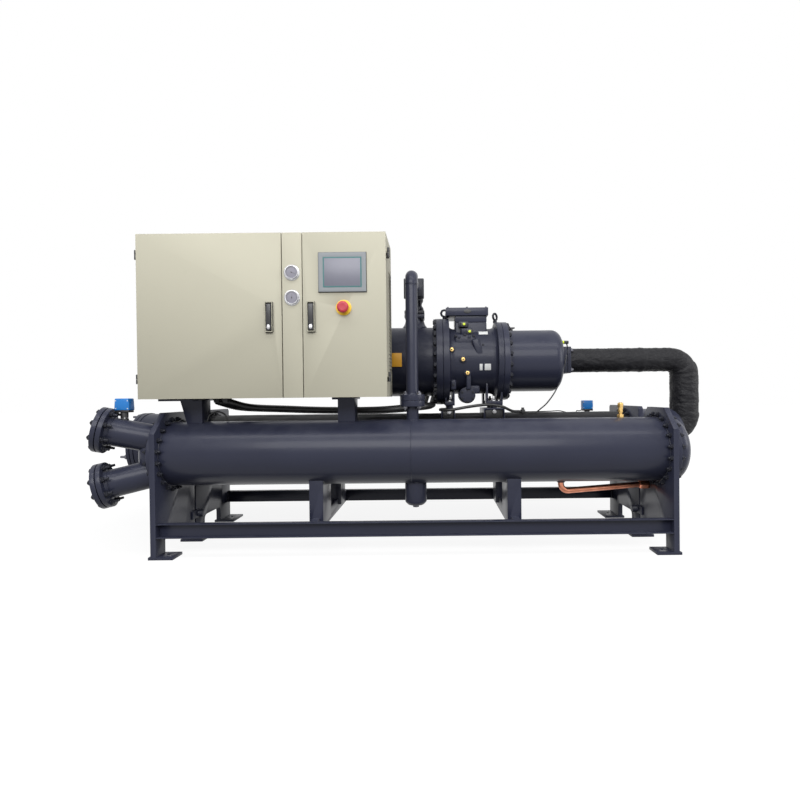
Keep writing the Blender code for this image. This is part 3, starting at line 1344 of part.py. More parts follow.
def pin_bore(lock_x):
    """Bore in the lock dish's sides for the lever's pin."""
    pivot = lever_pivot(lock_x)
    reach = LOCK_WIDTH / 2 - LOCK_RIM / 2 + PIN_CLEARANCE
    return rod(
        (lock_x - reach, pivot.y, pivot.z), (lock_x + reach, pivot.y, pivot.z),
        LEVER_PIN_RADIUS + PIN_CLEARANCE, 8,
    )


def make_doors(beige, black, panel_grey, yellow, red):
    """Both doors with their levers, and the operator panel and stop button on the right one."""
    left_lock = LEFT_DOOR_END - LEFT_LOCK_INSET
    right_lock = RIGHT_DOOR_START + RIGHT_LOCK_INSET
    left_axis, _ = make_door(
        "left_door", beige, -1, CABINET_LEFT, LEFT_DOOR_END, left_lock, [pin_bore(left_lock)],
    )
    stop_x = CABINET_RIGHT - RIGHT_DOOR_WIDTH * STOP_SHARE
    stop_bore = rod(
        (stop_x, depth(-STOP_COLLAR_THICKNESS), STOP_HEIGHT), (stop_x, depth(2 * DOOR_THICKNESS), STOP_HEIGHT),
        STOP_STEM_RADIUS + PIN_CLEARANCE, MEDIUM_SIDES,
    )
    right_axis, _ = make_door(
        "right_door", beige, 1, RIGHT_DOOR_START, CABINET_RIGHT, right_lock, [pin_bore(right_lock), stop_bore],
    )
    make_lock_lever("left_lock_lever", black, left_lock, left_axis)
    make_lock_lever("right_lock_lever", black, right_lock, right_axis)
    make_operator_panel(panel_grey, right_axis)
    make_stop_button(yellow, red, stop_x, right_axis)


def make_operator_panel(panel_grey, parent):
    """Operator panel on the right door, with its screen a little sunk."""
    middle_x = CABINET_RIGHT - RIGHT_DOOR_WIDTH * PANEL_CENTRE_SHARE
    half_width = PANEL_WIDTH / 2
    half_height = PANEL_HEIGHT / 2
    bezel = block(
        (middle_x - half_width, depth(-PANEL_THICKNESS), PANEL_CENTRE_HEIGHT - half_height),
        (middle_x + half_width, depth(-TOUCH), PANEL_CENTRE_HEIGHT + half_height),
    )
    screen = block(
        (
            middle_x - half_width + PANEL_SCREEN_MARGIN, depth(-2 * PANEL_THICKNESS),
            PANEL_CENTRE_HEIGHT - half_height + PANEL_SCREEN_MARGIN,
        ),
        (
            middle_x + half_width - PANEL_SCREEN_MARGIN, depth(PANEL_SCREEN_DEPTH - PANEL_THICKNESS),
            PANEL_CENTRE_HEIGHT + half_height - PANEL_SCREEN_MARGIN,
        ),
    )
    piece("operator_panel", panel_grey, bezel, cut=[screen], parent=parent)


def make_stop_button(yellow, red, stop_x, parent):
    """Collar fixed to the door, and the mushroom button that is pushed in through it."""
    face = Vector((stop_x, depth(-TOUCH), STOP_HEIGHT))
    collar = turned(
        [
            (0, 0), (0, STOP_PLATE_RADIUS), (STOP_PLATE_THICKNESS, STOP_PLATE_RADIUS),
            (STOP_PLATE_THICKNESS, STOP_COLLAR_RADIUS), (STOP_COLLAR_THICKNESS - TOUCH, STOP_COLLAR_RADIUS),
            (STOP_COLLAR_THICKNESS - TOUCH, 0),
        ],
        face, (0, -1, 0), MEDIUM_SIDES,
    )
    bore = rod(
        (stop_x, depth(-STOP_REACH), STOP_HEIGHT), (stop_x, depth(DOOR_SKIN), STOP_HEIGHT),
        STOP_STEM_RADIUS + PIN_CLEARANCE, MEDIUM_SIDES,
    )
    piece("stop_collar", yellow, collar, cut=[bore], parent=parent)
    head_back = STOP_REACH - STOP_HEAD_THICKNESS
    stem_end = DOOR_THICKNESS - STOP_TRAVEL - RUNNING
    start = Vector((stop_x, depth(stem_end), STOP_HEIGHT))
    length = stem_end + head_back
    crown = STOP_HEAD_THICKNESS - STOP_HEAD_EDGE
    dome = [
        (
            length + STOP_HEAD_EDGE + crown * math.sin(math.pi / 2 * step / DOME_STEPS),
            STOP_HEAD_RADIUS * math.cos(math.pi / 2 * step / DOME_STEPS) if step < DOME_STEPS else 0.0,
        )
        for step in range(DOME_STEPS + 1)
    ]
    button = turned(
        [(0, 0), (0, STOP_STEM_RADIUS), (length, STOP_STEM_RADIUS), (length, STOP_HEAD_RADIUS), *dome],
        start, (0, -1, 0), MEDIUM_SIDES,
    )
    slide = axis_point("stop_button_axis", (stop_x, depth(0.0), STOP_HEIGHT))
    slide.parent = parent
    slide.matrix_parent_inverse = Matrix.Translation(-parent.location)
    result = piece("stop_button", red, button, origin=slide.location)
    result.parent = slide
    result.matrix_parent_inverse = Matrix.Translation(-slide.location)


def make_gauges(chrome):
    """Two flanged pressure gauges on the centre strip."""
    middle_x = (STRIP_START + STRIP_END) / 2
    rim = GAUGE_DIAL_RADIUS + GAUGE_RIM
    for label, drop in (("upper", UPPER_GAUGE_DROP), ("lower", LOWER_GAUGE_DROP)):
        gauge = turned(
            [
                (0, 0), (0, GAUGE_RADIUS), (GAUGE_FLANGE_THICKNESS, GAUGE_RADIUS),
                (GAUGE_FLANGE_THICKNESS, rim), (GAUGE_THICKNESS, rim),
                (GAUGE_THICKNESS, GAUGE_DIAL_RADIUS), (GAUGE_DIAL_LEVEL, GAUGE_DIAL_RADIUS),
                (GAUGE_DIAL_LEVEL, 0),
            ],
            (middle_x, depth(-TOUCH), CABINET_TOP - drop), (0, -1, 0), MEDIUM_SIDES,
        )
        piece(f"{label}_gauge", chrome, gauge)


def smooth_route(points, steps=CONDUIT_ROUTE_STEPS):
    """Points of a smooth curve through the chosen points of a cable's route."""
    route = []
    points = [Vector(point) for point in points]
    padded = [2 * points[0] - points[1], *points, 2 * points[-1] - points[-2]]
    for first, second, third, fourth in zip(padded, padded[1:], padded[2:], padded[3:]):
        for step in range(steps):
            t = step / steps
            route.append(
                second + (third - first) * (t / 2)
                + (2 * first - 5 * second + 4 * third - fourth) * (t * t / 2)
                + (3 * second - first - 3 * third + fourth) * (t ** 3 / 2)
            )
    route.append(points[-1])
    return route


def cable(name, finish, points, radius):
    """Cable as a round curve with filled ends, straight at its first and last stretch."""
    curve = bpy.data.curves.new(name, "CURVE")
    curve.dimensions = "3D"
    curve.bevel_depth = radius
    curve.bevel_resolution = 2
    curve.render_resolution_u = 0
    curve.use_fill_caps = True
    route = [Vector(points[0]), *smooth_route(points[1:-1]), Vector(points[-1])]
    spline = curve.splines.new("POLY")
    spline.points.add(len(route) - 1)
    for place, point in zip(spline.points, route):
        place.co = (*point, 1.0)
    curve.materials.append(finish)
    result = bpy.data.objects.new(name, curve)
    bpy.context.collection.objects.link(result)
    return result


def make_cables(rubber):
    """Power conduits from the cabinet, back under the oil separator and up to the terminal box."""
    box_rear = EVAPORATOR_AXIS + TERMINAL_BOX_DEPTH / 2
    box_height = TERMINAL_LID_BOTTOM - CONDUIT_RADIUS - TERMINAL_LID_MARGIN / 2
    for label, step in (("front", 0.0), ("rear", CONDUIT_SPACING)):
        start_x = CONDUIT_START_X - CONDUIT_START_STEP * step
        start_depth = CONDUIT_START_DEPTH + step
        end_x = TERMINAL_BOX_END - CONDUIT_END_INSET - CONDUIT_END_STEP * step
        turn_x = BODY_FLANGE_START - CONDUIT_TURN_INSET - CONDUIT_TURN_STEP * step
        cable(
            f"power_conduit_{label}", rubber,
            [
                (start_x, depth(start_depth), CABINET_BOTTOM - TOUCH),
                (start_x, depth(start_depth), CABINET_BOTTOM - 0.018),
                (start_x + 0.110, depth(0.320 + step), SHELL_TOP + 0.0805),
                (start_x + 0.320, depth(0.400 + step), SHELL_TOP + 0.0655),
                (start_x + 0.580, depth(0.445 + step), SHELL_TOP + 0.0535),
                (turn_x - 0.298, depth(0.450 + step), SHELL_TOP + 0.0515),
                (turn_x - 0.055, depth(0.500 + step), SHELL_TOP + 0.0695),
                (turn_x, depth(0.700), SHELL_TOP + 0.0775),
                (turn_x + 0.005, depth(0.900), SHELL_TOP + 0.0875),
                (turn_x + 0.030, depth(1.030), COMPRESSOR_HEIGHT - 0.210),
                (turn_x + 0.115, depth(1.080), COMPRESSOR_HEIGHT - 0.020),
                (end_x - 0.040, depth(1.060), COMPRESSOR_HEIGHT + 0.160),
                (end_x, depth(0.990), box_height - 0.006),
                (end_x, depth(box_rear + 0.050), box_height),
                (end_x, depth(box_rear + TOUCH), box_height),
            ],
            CONDUIT_RADIUS,
        )


def main():
    """Build the whole machine in an empty scene."""
    for item in list(bpy.data.objects):
        bpy.data.objects.remove(item, do_unlink=True)
    paint = material("blue_grey_paint", (0.045, 0.048, 0.075), 0.35)
    dark = material("dark_paint", (0.030, 0.031, 0.040), 0.45)
    beige = material("beige_powder_coat", (0.48, 0.46, 0.38), 0.55)
    foam = material("black_foam", (0.016, 0.016, 0.018), 0.65)
    copper = material("copper", (0.55, 0.20, 0.12), 0.35, 1.0)
    brass = material("brass", (0.60, 0.42, 0.15), 0.35, 1.0)
    steel = material("zinc_steel", (0.55, 0.55, 0.55), 0.40, 1.0)
    black = material("black_plastic", (0.012, 0.012, 0.013), 0.45)
    panel_grey = material("panel_grey", (0.36, 0.37, 0.38), 0.45)
    yellow = material("yellow_plastic", (0.80, 0.50, 0.03), 0.45)
    red = material("red_plastic", (0.50, 0.03, 0.04), 0.40)
    blue = material("blue_plastic", (0.012, 0.16, 0.48), 0.40)
    chrome = material("gauge_steel", (0.62, 0.62, 0.62), 0.25, 1.0)
    rubber = material("cable_rubber", (0.012, 0.012, 0.013), 0.60)
    make_frame(paint)
    make_condenser(paint, copper, brass)
    make_nozzles(paint, blue)
    make_evaporator(foam, paint)
    make_compressor(paint, dark)
    make_discharge_line(paint, dark)
    make_suction_pipe(foam)
    make_cabinet(beige, paint, steel)
    make_gauges(chrome)
    make_doors(beige, black, panel_grey, yellow, red)
    make_cables(rubber)


main()
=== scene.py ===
# %% [markdown]
# # The look of a water-cooled screw chiller
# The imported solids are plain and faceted, but every one of them is in its right place.  This lesson
# dresses them: round pieces are turned again with many steps, plates get broken edges, and each finish
# gets its own material.  The first lines bring the solids in, and nothing below moves one of them.

# %% The frame
import math

import bmesh
import bpy
from mathutils import Matrix, Vector, noise


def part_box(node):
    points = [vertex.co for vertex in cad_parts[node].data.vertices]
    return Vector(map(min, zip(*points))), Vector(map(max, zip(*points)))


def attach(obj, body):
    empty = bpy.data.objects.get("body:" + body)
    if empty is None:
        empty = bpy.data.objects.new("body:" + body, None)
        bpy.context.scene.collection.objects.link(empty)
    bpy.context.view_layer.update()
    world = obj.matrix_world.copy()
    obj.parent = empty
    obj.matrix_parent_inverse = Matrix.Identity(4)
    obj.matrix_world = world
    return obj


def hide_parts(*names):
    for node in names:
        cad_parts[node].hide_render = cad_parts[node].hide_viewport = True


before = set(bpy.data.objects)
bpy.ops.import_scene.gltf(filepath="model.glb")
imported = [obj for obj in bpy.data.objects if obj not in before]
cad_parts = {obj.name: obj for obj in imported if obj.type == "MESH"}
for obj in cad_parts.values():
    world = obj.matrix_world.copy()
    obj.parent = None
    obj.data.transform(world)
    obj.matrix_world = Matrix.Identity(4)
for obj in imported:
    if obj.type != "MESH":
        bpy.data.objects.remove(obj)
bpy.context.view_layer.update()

scene = bpy.context.scene
TOUCH = 0.0003

# %% [markdown]
# ## Camera
# The machine was photographed from close by with a wide lens: the depths of the two shells run to one
# point a little right of the middle.  A camera is placed by where it stands, how far it tips down and
# how far it rolls, so those are the values here, and the lens follows from its field of view.

# %% Camera
FRAME_WIDTH_PX = 800
FOCAL_PX = 500
VANISHING_X_PX = 434
SENSOR_WIDTH_MM = 36
CAMERA_X = 0.1134
CAMERA_HEIGHT = 0.8943
CAMERA_DISTANCE = 2.759
CAMERA_PITCH = 0.0086
CAMERA_ROLL = 0.0105

front_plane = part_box("front_beam")[0].y


def depth(distance):
    """Y coordinate of a depth measured backwards from the front edge of the tube sheets."""
    return front_plane + distance


def make_camera():
    """Camera in front of the machine, tipped down and rolled a little."""
    lens = bpy.data.cameras.new("camera")
    lens.sensor_width = SENSOR_WIDTH_MM
    lens.lens = FOCAL_PX / FRAME_WIDTH_PX * SENSOR_WIDTH_MM
    lens.shift_x = (FRAME_WIDTH_PX / 2 - VANISHING_X_PX) / FRAME_WIDTH_PX
    camera = bpy.data.objects.new("camera", lens)
    scene.collection.objects.link(camera)
    place = Matrix.Translation((CAMERA_X, front_plane - CAMERA_DISTANCE, CAMERA_HEIGHT))
    tip = Matrix.Rotation(math.pi / 2 - CAMERA_PITCH, 4, "X")
    roll = Matrix.Rotation(-CAMERA_ROLL, 4, "Z")
    camera.matrix_world = place @ tip @ roll
    scene.camera = camera
    return camera


camera = make_camera()
print("lens", round(camera.data.lens, 2), "mm")
print("camera at", tuple(round(value, 3) for value in camera.location))

# %% [markdown]
# ## Shader maths in Python
# A material is a graph of nodes.  Written node by node it is long and hard to read, so a socket is
# wrapped in a small class whose operators add Math nodes.  The rest of the graph comes from one method
# that takes a node's type, its settings and what goes into its sockets.


# %% Sockets that can be calculated with
class Signal:
    """Output socket of a node, with the arithmetic of a number."""

    def __init__(self, finish, socket):
        self.finish = finish
        self.socket = socket

    def maths(self, operation, first, second):
        return self.finish.node("ShaderNodeMath", {"operation": operation}, {0: first, 1: second})

    def __add__(self, other):
        return self.maths("ADD", self, other)

    def __radd__(self, other):
        return self.maths("ADD", other, self)

    def __sub__(self, other):
        return self.maths("SUBTRACT", self, other)

    def __rsub__(self, other):
        return self.maths("SUBTRACT", other, self)

    def __mul__(self, other):
        return self.maths("MULTIPLY", self, other)

    def __rmul__(self, other):
        return self.maths("MULTIPLY", other, self)

    def __truediv__(self, other):
        return self.maths("DIVIDE", self, other)


class Finish:
    """A material under construction: its graph, and the shader that everything ends in."""

    def __init__(self, name, metallic=0.0, coat=0.0, coat_roughness=0.1, specular=0.5, sheen=0.0):
        self.material = bpy.data.materials.new(name)
        self.material.use_nodes = True
        self.tree = self.material.node_tree
        self.shader = self.tree.nodes["Principled BSDF"]
        fixed = {
            "Metallic": metallic, "Coat Weight": coat, "Coat Roughness": coat_roughness,
            "Specular IOR Level": specular, "Sheen Weight": sheen,
        }
        for socket, value in fixed.items():
            self.shader.inputs[socket].default_value = value
        self.place = self.node("ShaderNodeTexCoord", {}, {}, "Object")

    def node(self, kind, settings, inputs, output=0):
        """Add one node: settings first, then the values or links of its sockets."""
        made = self.tree.nodes.new(kind)
        for key, value in settings.items():
            if key == "stops":
                self.set_stops(made.color_ramp, value)
            else:
                setattr(made, key, value)
        for key, value in inputs.items():
            self.feed(made.inputs[key], value)
        return Signal(self, made.outputs[output])

    def set_stops(self, ramp, stops):
        """Give a colour ramp its (position, colour) stops."""
        while len(ramp.elements) < len(stops):
            ramp.elements.new(0.5)
        for element, (position, colour) in zip(ramp.elements, stops):
            element.position = position
            element.color = (*colour, 1.0)

    def feed(self, socket, value):
        """Link a signal to a socket, or set its value."""
        if isinstance(value, Signal):
            self.tree.links.new(value.socket, socket)
        elif isinstance(value, tuple) and len(value) == 3 and socket.type == "RGBA":
            socket.default_value = (*value, 1.0)
        else:
            socket.default_value = value

    def noise(self, scale, detail=3.0, roughness=0.55, stretch=(1.0, 1.0, 1.0)):
        """Noise value over the piece, in features per metre, which may be stretched along an axis."""
        place = self.node("ShaderNodeMapping", {}, {"Vector": self.place, "Scale": stretch})
        sockets = {"Vector": place, "Scale": scale, "Detail": detail, "Roughness": roughness}
        return self.node("ShaderNodeTexNoise", {}, sockets)

    def between(self, value, low, high):
        """Value spread from 0 at low to 1 at high, and held there outside."""
        sockets = {"Value": value, "From Min": low, "From Max": high}
        return self.node("ShaderNodeMapRange", {"clamp": True}, sockets)

    def blend(self, factor, first, second):
        """Colour between two colours."""
        settings = {"data_type": "RGBA", "clamp_factor": True}
        return self.node("ShaderNodeMix", settings, {0: factor, 6: first, 7: second}, 2)

    def bump(self, height, distance, strength=1.0, below=None):
        """Surface relief, in metres for a height of one."""
        sockets = {"Height": height, "Distance": distance, "Strength": strength}
        if below is not None:
            sockets["Normal"] = below
        return self.node("ShaderNodeBump", {}, sockets)

    def facing_up(self):
        """How far a surface faces upwards: 1 on a level top, 0 on a wall."""
        normal = self.node("ShaderNodeNewGeometry", {}, {}, "Normal")
        parts = self.node("ShaderNodeSeparateXYZ", {}, {"Vector": normal}, "Z")
        return self.between(parts, 0.15, 0.95)

    def done(self, colour, roughness, relief=None):
        """Connect what changes over the surface, and give the material."""
        self.feed(self.shader.inputs["Base Color"], colour)
        self.feed(self.shader.inputs["Roughness"], roughness)
        if relief is not None:
            self.feed(self.shader.inputs["Normal"], relief)
        return self.material


# %% [markdown]
# ## The machine enamel
# Nearly everything is sprayed in one dark blue-grey enamel.  It is glossy, with the slight unevenness
# of sprayed paint, a film of dust on what faces up, and small scuffs.  Castings get the same paint over
# a sand-cast skin, so one function makes both, with the skin's coarseness as its argument.

# %% Enamel
ENAMEL_COLOUR = (0.027, 0.030, 0.052)
ENAMEL_DARK = (0.022, 0.024, 0.042)
ENAMEL_DUST = (0.072, 0.076, 0.098)


def enamel(name, skin_height, skin_scale, base=ENAMEL_COLOUR, gloss=0.28):
    """Sprayed enamel over a smooth or a cast skin."""
    finish = Finish(name, coat=0.06, coat_roughness=0.10, specular=0.2)
    clouds = finish.noise(3.0, 4.0)
    fine = finish.noise(90.0, 2.0)
    scuffs = finish.between(finish.noise(26.0, 6.0, 0.7), 0.66, 0.74)
    dust = finish.facing_up() * finish.between(finish.noise(9.0, 5.0, 0.65), 0.38, 0.72) * 0.35
    colour = finish.blend(clouds, ENAMEL_DARK if base is ENAMEL_COLOUR else base, base)
    colour = finish.blend(dust, colour, ENAMEL_DUST)
    colour = finish.blend(scuffs * 0.25, colour, ENAMEL_DUST)
    roughness = gloss + clouds * 0.10 + dust * 0.5 + scuffs * 0.15
    peel = finish.bump(fine, 0.0006, 0.25)
    relief = finish.bump(finish.noise(skin_scale, 3.0), skin_height, 1.0, peel)
    return finish.done(colour, roughness, relief)


enamel_smooth = enamel("enamel_smooth", 0.0012, 5.0)
enamel_cast = enamel("enamel_cast", 0.0012, 140.0, base=(0.019, 0.021, 0.037), gloss=0.30)
enamel_dark = enamel("enamel_dark", 0.0010, 110.0, base=(0.014, 0.015, 0.022), gloss=0.36)
print("enamels", enamel_smooth.name, enamel_cast.name, enamel_dark.name)

# %% [markdown]
# ## Powder coat, foam and rubber
# The cabinet's powder coat has a fine, even orange peel.  The insulation is black closed-cell foam, matt
# and a little dusty, and its relief is slow waves rather than grain.  Cables are smoother and blacker.

# %% Powder coat
BEIGE = (0.480, 0.462, 0.372)


def powder_coat(name, colour, shade):
    """Powder coat with fine orange peel and a trace of handling marks."""
    finish = Finish(name, specular=0.12)
    peel = finish.noise(420.0, 2.0)
    clouds = finish.noise(2.2, 3.0)
    marks = finish.between(finish.noise(14.0, 6.0, 0.7), 0.62, 0.80)
    tone = finish.blend(clouds, shade, colour)
    tone = finish.blend(marks * 0.10, tone, tuple(value * 0.6 for value in colour))
    return finish.done(tone, 0.55 + marks * 0.12 + clouds * 0.06, finish.bump(peel, 0.0004, 0.5))


beige_coat = powder_coat("beige_coat", BEIGE, tuple(value * 0.94 for value in BEIGE))

# %% Foam, rubber and plastics
FOAM_COLOUR = (0.009, 0.009, 0.011)
FOAM_DUST = (0.030, 0.030, 0.033)


def foam(name, wave_height, wave_scale):
    """Closed-cell rubber foam: matt black, dusty on top, in slow waves with fine pores."""
    finish = Finish(name, specular=0.2, sheen=0.0)
    waves = finish.noise(wave_scale, 3.0, 0.5, (0.6, 1.0, 1.0))
    pores = finish.noise(700.0, 2.0)
    dust = finish.facing_up() * finish.between(finish.noise(12.0, 5.0, 0.7), 0.40, 0.70) * 0.6
    colour = finish.blend(dust, FOAM_COLOUR, FOAM_DUST)
    relief = finish.bump(pores, 0.0004, 0.4, finish.bump(waves, wave_height, 0.8))
    return finish.done(colour, 0.44 + waves * 0.14 + dust * 0.3, relief)


def plastic(name, colour, roughness, grain=300.0, grain_height=0.0002):
    """Moulded plastic with a fine grain."""
    finish = Finish(name)
    worn = finish.noise(18.0, 4.0)
    tone = finish.blend(worn * 0.35, colour, tuple(min(1.0, value * 1.35 + 0.004) for value in colour))
    relief = finish.bump(finish.noise(grain, 2.0), grain_height, 0.5)
    return finish.done(tone, roughness + worn * 0.10, relief)


black_foam = foam("black_foam", 0.006, 14.0)
suction_foam = foam("suction_foam", 0.016, 30.0)
cable_black = plastic("cable_black", (0.012, 0.012, 0.013), 0.38, 60.0, 0.0006)
black_plastic = plastic("black_plastic", (0.012, 0.012, 0.013), 0.36)
panel_grey = plastic("panel_grey", (0.190, 0.205, 0.220), 0.45)
panel_green = plastic("panel_green", (0.018, 0.110, 0.115), 0.40)
stop_yellow = plastic("stop_yellow", (0.83, 0.52, 0.03), 0.35)
stop_red = plastic("stop_red", (0.40, 0.022, 0.040), 0.42)
switch_blue = plastic("switch_blue", (0.010, 0.165, 0.50), 0.30)
plate_orange = plastic("plate_orange", (0.62, 0.30, 0.015), 0.40)
plate_white = plastic("plate_white", (0.62, 0.63, 0.63), 0.35)
black_satin = plastic("black_satin", (0.018, 0.018, 0.020), 0.30)
dial_white = plastic("dial_white", (0.20, 0.195, 0.235), 0.45)
screen_grey = plastic("screen_grey", (0.150, 0.152, 0.190), 0.32, 40.0, 0.00002)
lime_plastic = plastic("lime_plastic", (0.60, 0.72, 0.03), 0.35)

# %% [markdown]
# ## Bare metals
# Copper, brass, zinc and the bright rims differ in colour and in how dull they are.  All of them are
# uneven: a slow change in tone from handling, and fine marks from drawing or turning.


# %% Metals
def bare_metal(name, colour, dull, roughness, grain=(1.0, 1.0, 1.0)):
    """Bare metal that is dulled in patches and finely marked along its grain."""
    finish = Finish(name, metallic=1.0)
    patches = finish.between(finish.noise(16.0, 5.0, 0.6), 0.35, 0.70)
    marks = finish.noise(220.0, 3.0, 0.6, grain)
    tone = finish.blend(patches, colour, dull)
    return finish.done(tone, roughness + patches * 0.14 + marks * 0.08, finish.bump(marks, 0.0002, 0.4))


copper = bare_metal("copper", (0.72, 0.30, 0.19), (0.46, 0.17, 0.10), 0.26, (0.1, 1.0, 1.0))
brass = bare_metal("brass", (0.80, 0.56, 0.22), (0.60, 0.38, 0.13), 0.24)
zinc = bare_metal("zinc", (0.62, 0.62, 0.63), (0.42, 0.42, 0.43), 0.32)
zinc_dark = bare_metal("zinc_dark", (0.20, 0.20, 0.22), (0.06, 0.06, 0.075), 0.34)
bright_steel = bare_metal("bright_steel", (0.44, 0.44, 0.45), (0.26, 0.26, 0.27), 0.24)
print("finishes", len(bpy.data.materials))

# %% [markdown]
# ## Floor, backdrop and light
# The background is white because the floor and the world are white to the camera and in reflections.
# The light on the object is a separate matter: a narrow soft box above, which draws the bright line
# along the shells, a wide one in front, a small one at the right and the world's own low level.

# %% Stage
FLOOR_SIZE = 60.0
FLOOR_COLOUR = (0.16, 0.16, 0.16)
FLOOR_GLOW = 0.88
FLOOR_SHADOW_REACH = 2.2
FLOOR_WHITE_FROM = 4.5


def seen_directly(tree):
    """One for rays from the camera, reflections and glass, and zero for light on a surface."""
    rays = tree.nodes.new("ShaderNodeLightPath")
    total = None
    for output in ("Is Camera Ray", "Is Glossy Ray", "Is Transmission Ray"):
        if total is None:
            total = rays.outputs[output]
            continue
        add = tree.nodes.new("ShaderNodeMath")
        add.operation = "ADD"
        add.use_clamp = True
        tree.links.new(total, add.inputs[0])
        tree.links.new(rays.outputs[output], add.inputs[1])
        total = add.outputs[0]
    return total


def make_world(level):
    """World that is white to look at and lights the object at a low level."""
    world = bpy.data.worlds.new("white_room")
    scene.world = world
    world.use_nodes = True
    tree = world.node_tree
    background = tree.nodes["Background"]
    background.inputs["Color"].default_value = (1, 1, 1, 1)
    strength = tree.nodes.new("ShaderNodeMapRange")
    tree.links.new(seen_directly(tree), strength.inputs["Value"])
    strength.inputs["To Min"].default_value = level
    strength.inputs["To Max"].default_value = 1.0
    tree.links.new(strength.outputs["Result"], background.inputs["Strength"])


def make_floor():
    """White floor that keeps a soft shadow under the machine and is pure white further away."""
    shape = bmesh.new()
    bmesh.ops.create_grid(shape, x_segments=1, y_segments=1, size=FLOOR_SIZE / 2)
    bmesh.ops.translate(shape, vec=(0, 0, -TOUCH), verts=shape.verts)
    mesh = bpy.data.meshes.new("floor")
    shape.to_mesh(mesh)
    shape.free()
    finish = Finish("floor_white", specular=0.0)
    tree = finish.tree
    distance = finish.node("ShaderNodeVectorMath", {"operation": "LENGTH"}, {0: finish.place}, 1)
    far = finish.between(distance, FLOOR_SHADOW_REACH, FLOOR_WHITE_FROM)
    seen = Signal(finish, seen_directly(tree))
    glow = tree.nodes.new("ShaderNodeEmission")
    finish.feed(glow.inputs["Strength"], seen * (FLOOR_GLOW + far * (1 - FLOOR_GLOW)))
    both = tree.nodes.new("ShaderNodeAddShader")
    tree.links.new(finish.shader.outputs["BSDF"], both.inputs[0])
    tree.links.new(glow.outputs["Emission"], both.inputs[1])
    tree.links.new(both.outputs["Shader"], tree.nodes["Material Output"].inputs["Surface"])
    mesh.materials.append(finish.done(FLOOR_COLOUR, 0.9))
    floor = bpy.data.objects.new("floor", mesh)
    scene.collection.objects.link(floor)


def soft_box(name, place, aim, width, height, watts):
    """Area lamp at a place, turned to aim at a point."""
    lamp = bpy.data.lights.new(name, "AREA")
    lamp.shape = "RECTANGLE"
    lamp.size = width
    lamp.size_y = height
    lamp.energy = watts
    holder = bpy.data.objects.new(name, lamp)
    scene.collection.objects.link(holder)
    turn = (Vector(aim) - Vector(place)).to_track_quat("-Z", "Y").to_matrix().to_4x4()
    holder.matrix_world = Matrix.Translation(place) @ turn


WORLD_LEVEL = 0.28
LAMPS = {
    "box_above": {"place": (0.0, -2.1, 4.6), "aim": (0, 0, 0.8), "width": 8.0, "height": 0.9, "watts": 120},
    "box_front": {"place": (-0.4, -6.6, 4.6), "aim": (0, 0, 0.9), "width": 8.0, "height": 3.0, "watts": 490},
    "box_right": {"place": (5.6, -1.6, 2.4), "aim": (0, 0, 0.9), "width": 3.0, "height": 3.0, "watts": 110},
}
make_world(WORLD_LEVEL)
make_floor()
for name, setting in LAMPS.items():
    soft_box(name, **setting)
scene.view_settings.view_transform = "Standard"

# %% [markdown]
# ## Helpers for round pieces, plates and fastenings
# A turned piece is a profile of (distance along the axis, radius) points spun round.  Real edges are
# broken, so the profile's corners are rounded first.  Plates are cubes whose edges are bevelled.

# %% Directions
ORIGIN = (0, 0, 0)
LEFTWARD = (-1, 0, 0)
RIGHTWARD = (1, 0, 0)
FORWARD = (0, -1, 0)
BACKWARD = (0, 1, 0)
DOWN = (0, 0, -1)
UP = (0, 0, 1)
MERGE_DISTANCE = 1e-6


# %% Turning
def along(direction):
    """Rotation that turns the Z axis into a direction."""
    return Vector(direction).to_track_quat("Z", "Y").to_matrix().to_4x4()


def facing(place, direction):
    """Matrix that stands a piece made along Z on a place, along a direction."""
    return Matrix.Translation(place) @ along(direction)


def rounded(profile, size, steps=3):
    """Profile with each inner corner rounded, less where a side is short."""
    points = [Vector(point) for point in profile]
    result = [points[0]]
    for before, corner, after in zip(points, points[1:], points[2:]):
        back = before - corner
        ahead = after - corner
        reach = min(size, back.length * 0.45, ahead.length * 0.45)
        if reach < 1e-5 or back.angle(ahead) > math.radians(165):
            result.append(corner)
            continue
        start = corner + back.normalized() * reach
        end = corner + ahead.normalized() * reach
        for step in range(steps + 1):
            share = step / steps
            result.append(start.lerp(corner, share).lerp(corner.lerp(end, share), share))
    result.append(points[-1])
    return result


def spun(shape, start, direction, steps):
    """Outline spun round the Z axis into a closed skin, which then stands on a place."""
    bmesh.ops.spin(
        shape, geom=shape.verts[:] + shape.edges[:], cent=ORIGIN, axis=UP, dvec=ORIGIN,
        angle=2 * math.pi, steps=steps, use_merge=True,
    )
    bmesh.ops.remove_doubles(shape, verts=shape.verts, dist=MERGE_DISTANCE)
    bmesh.ops.recalc_face_normals(shape, faces=shape.faces)
    bmesh.ops.transform(shape, matrix=facing(start, direction), verts=shape.verts)
    return shape


def turned(profile, start, direction, steps=96):
    """Solid of revolution from a profile that starts and ends on the axis."""
    shape = bmesh.new()
    points = [shape.verts.new((radius, 0.0, distance)) for distance, radius in profile]
    for pair in zip(points, points[1:]):
        shape.edges.new(pair)
    return spun(shape, start, direction, steps)


def lathed(profile, edge, start, direction, steps=96):
    """Turned solid from an outer profile, closed to the axis at both ends, with broken edges."""
    whole = [(profile[0][0], 0), *profile, (profile[-1][0], 0)]
    return turned(rounded(whole, edge), start, direction, steps)


def disc(start, direction, thickness, radius, edge=0.002, steps=64):
    """Round plate or short bar with broken edges."""
    return lathed([(0, radius), (thickness, radius)], edge, start, direction, steps)


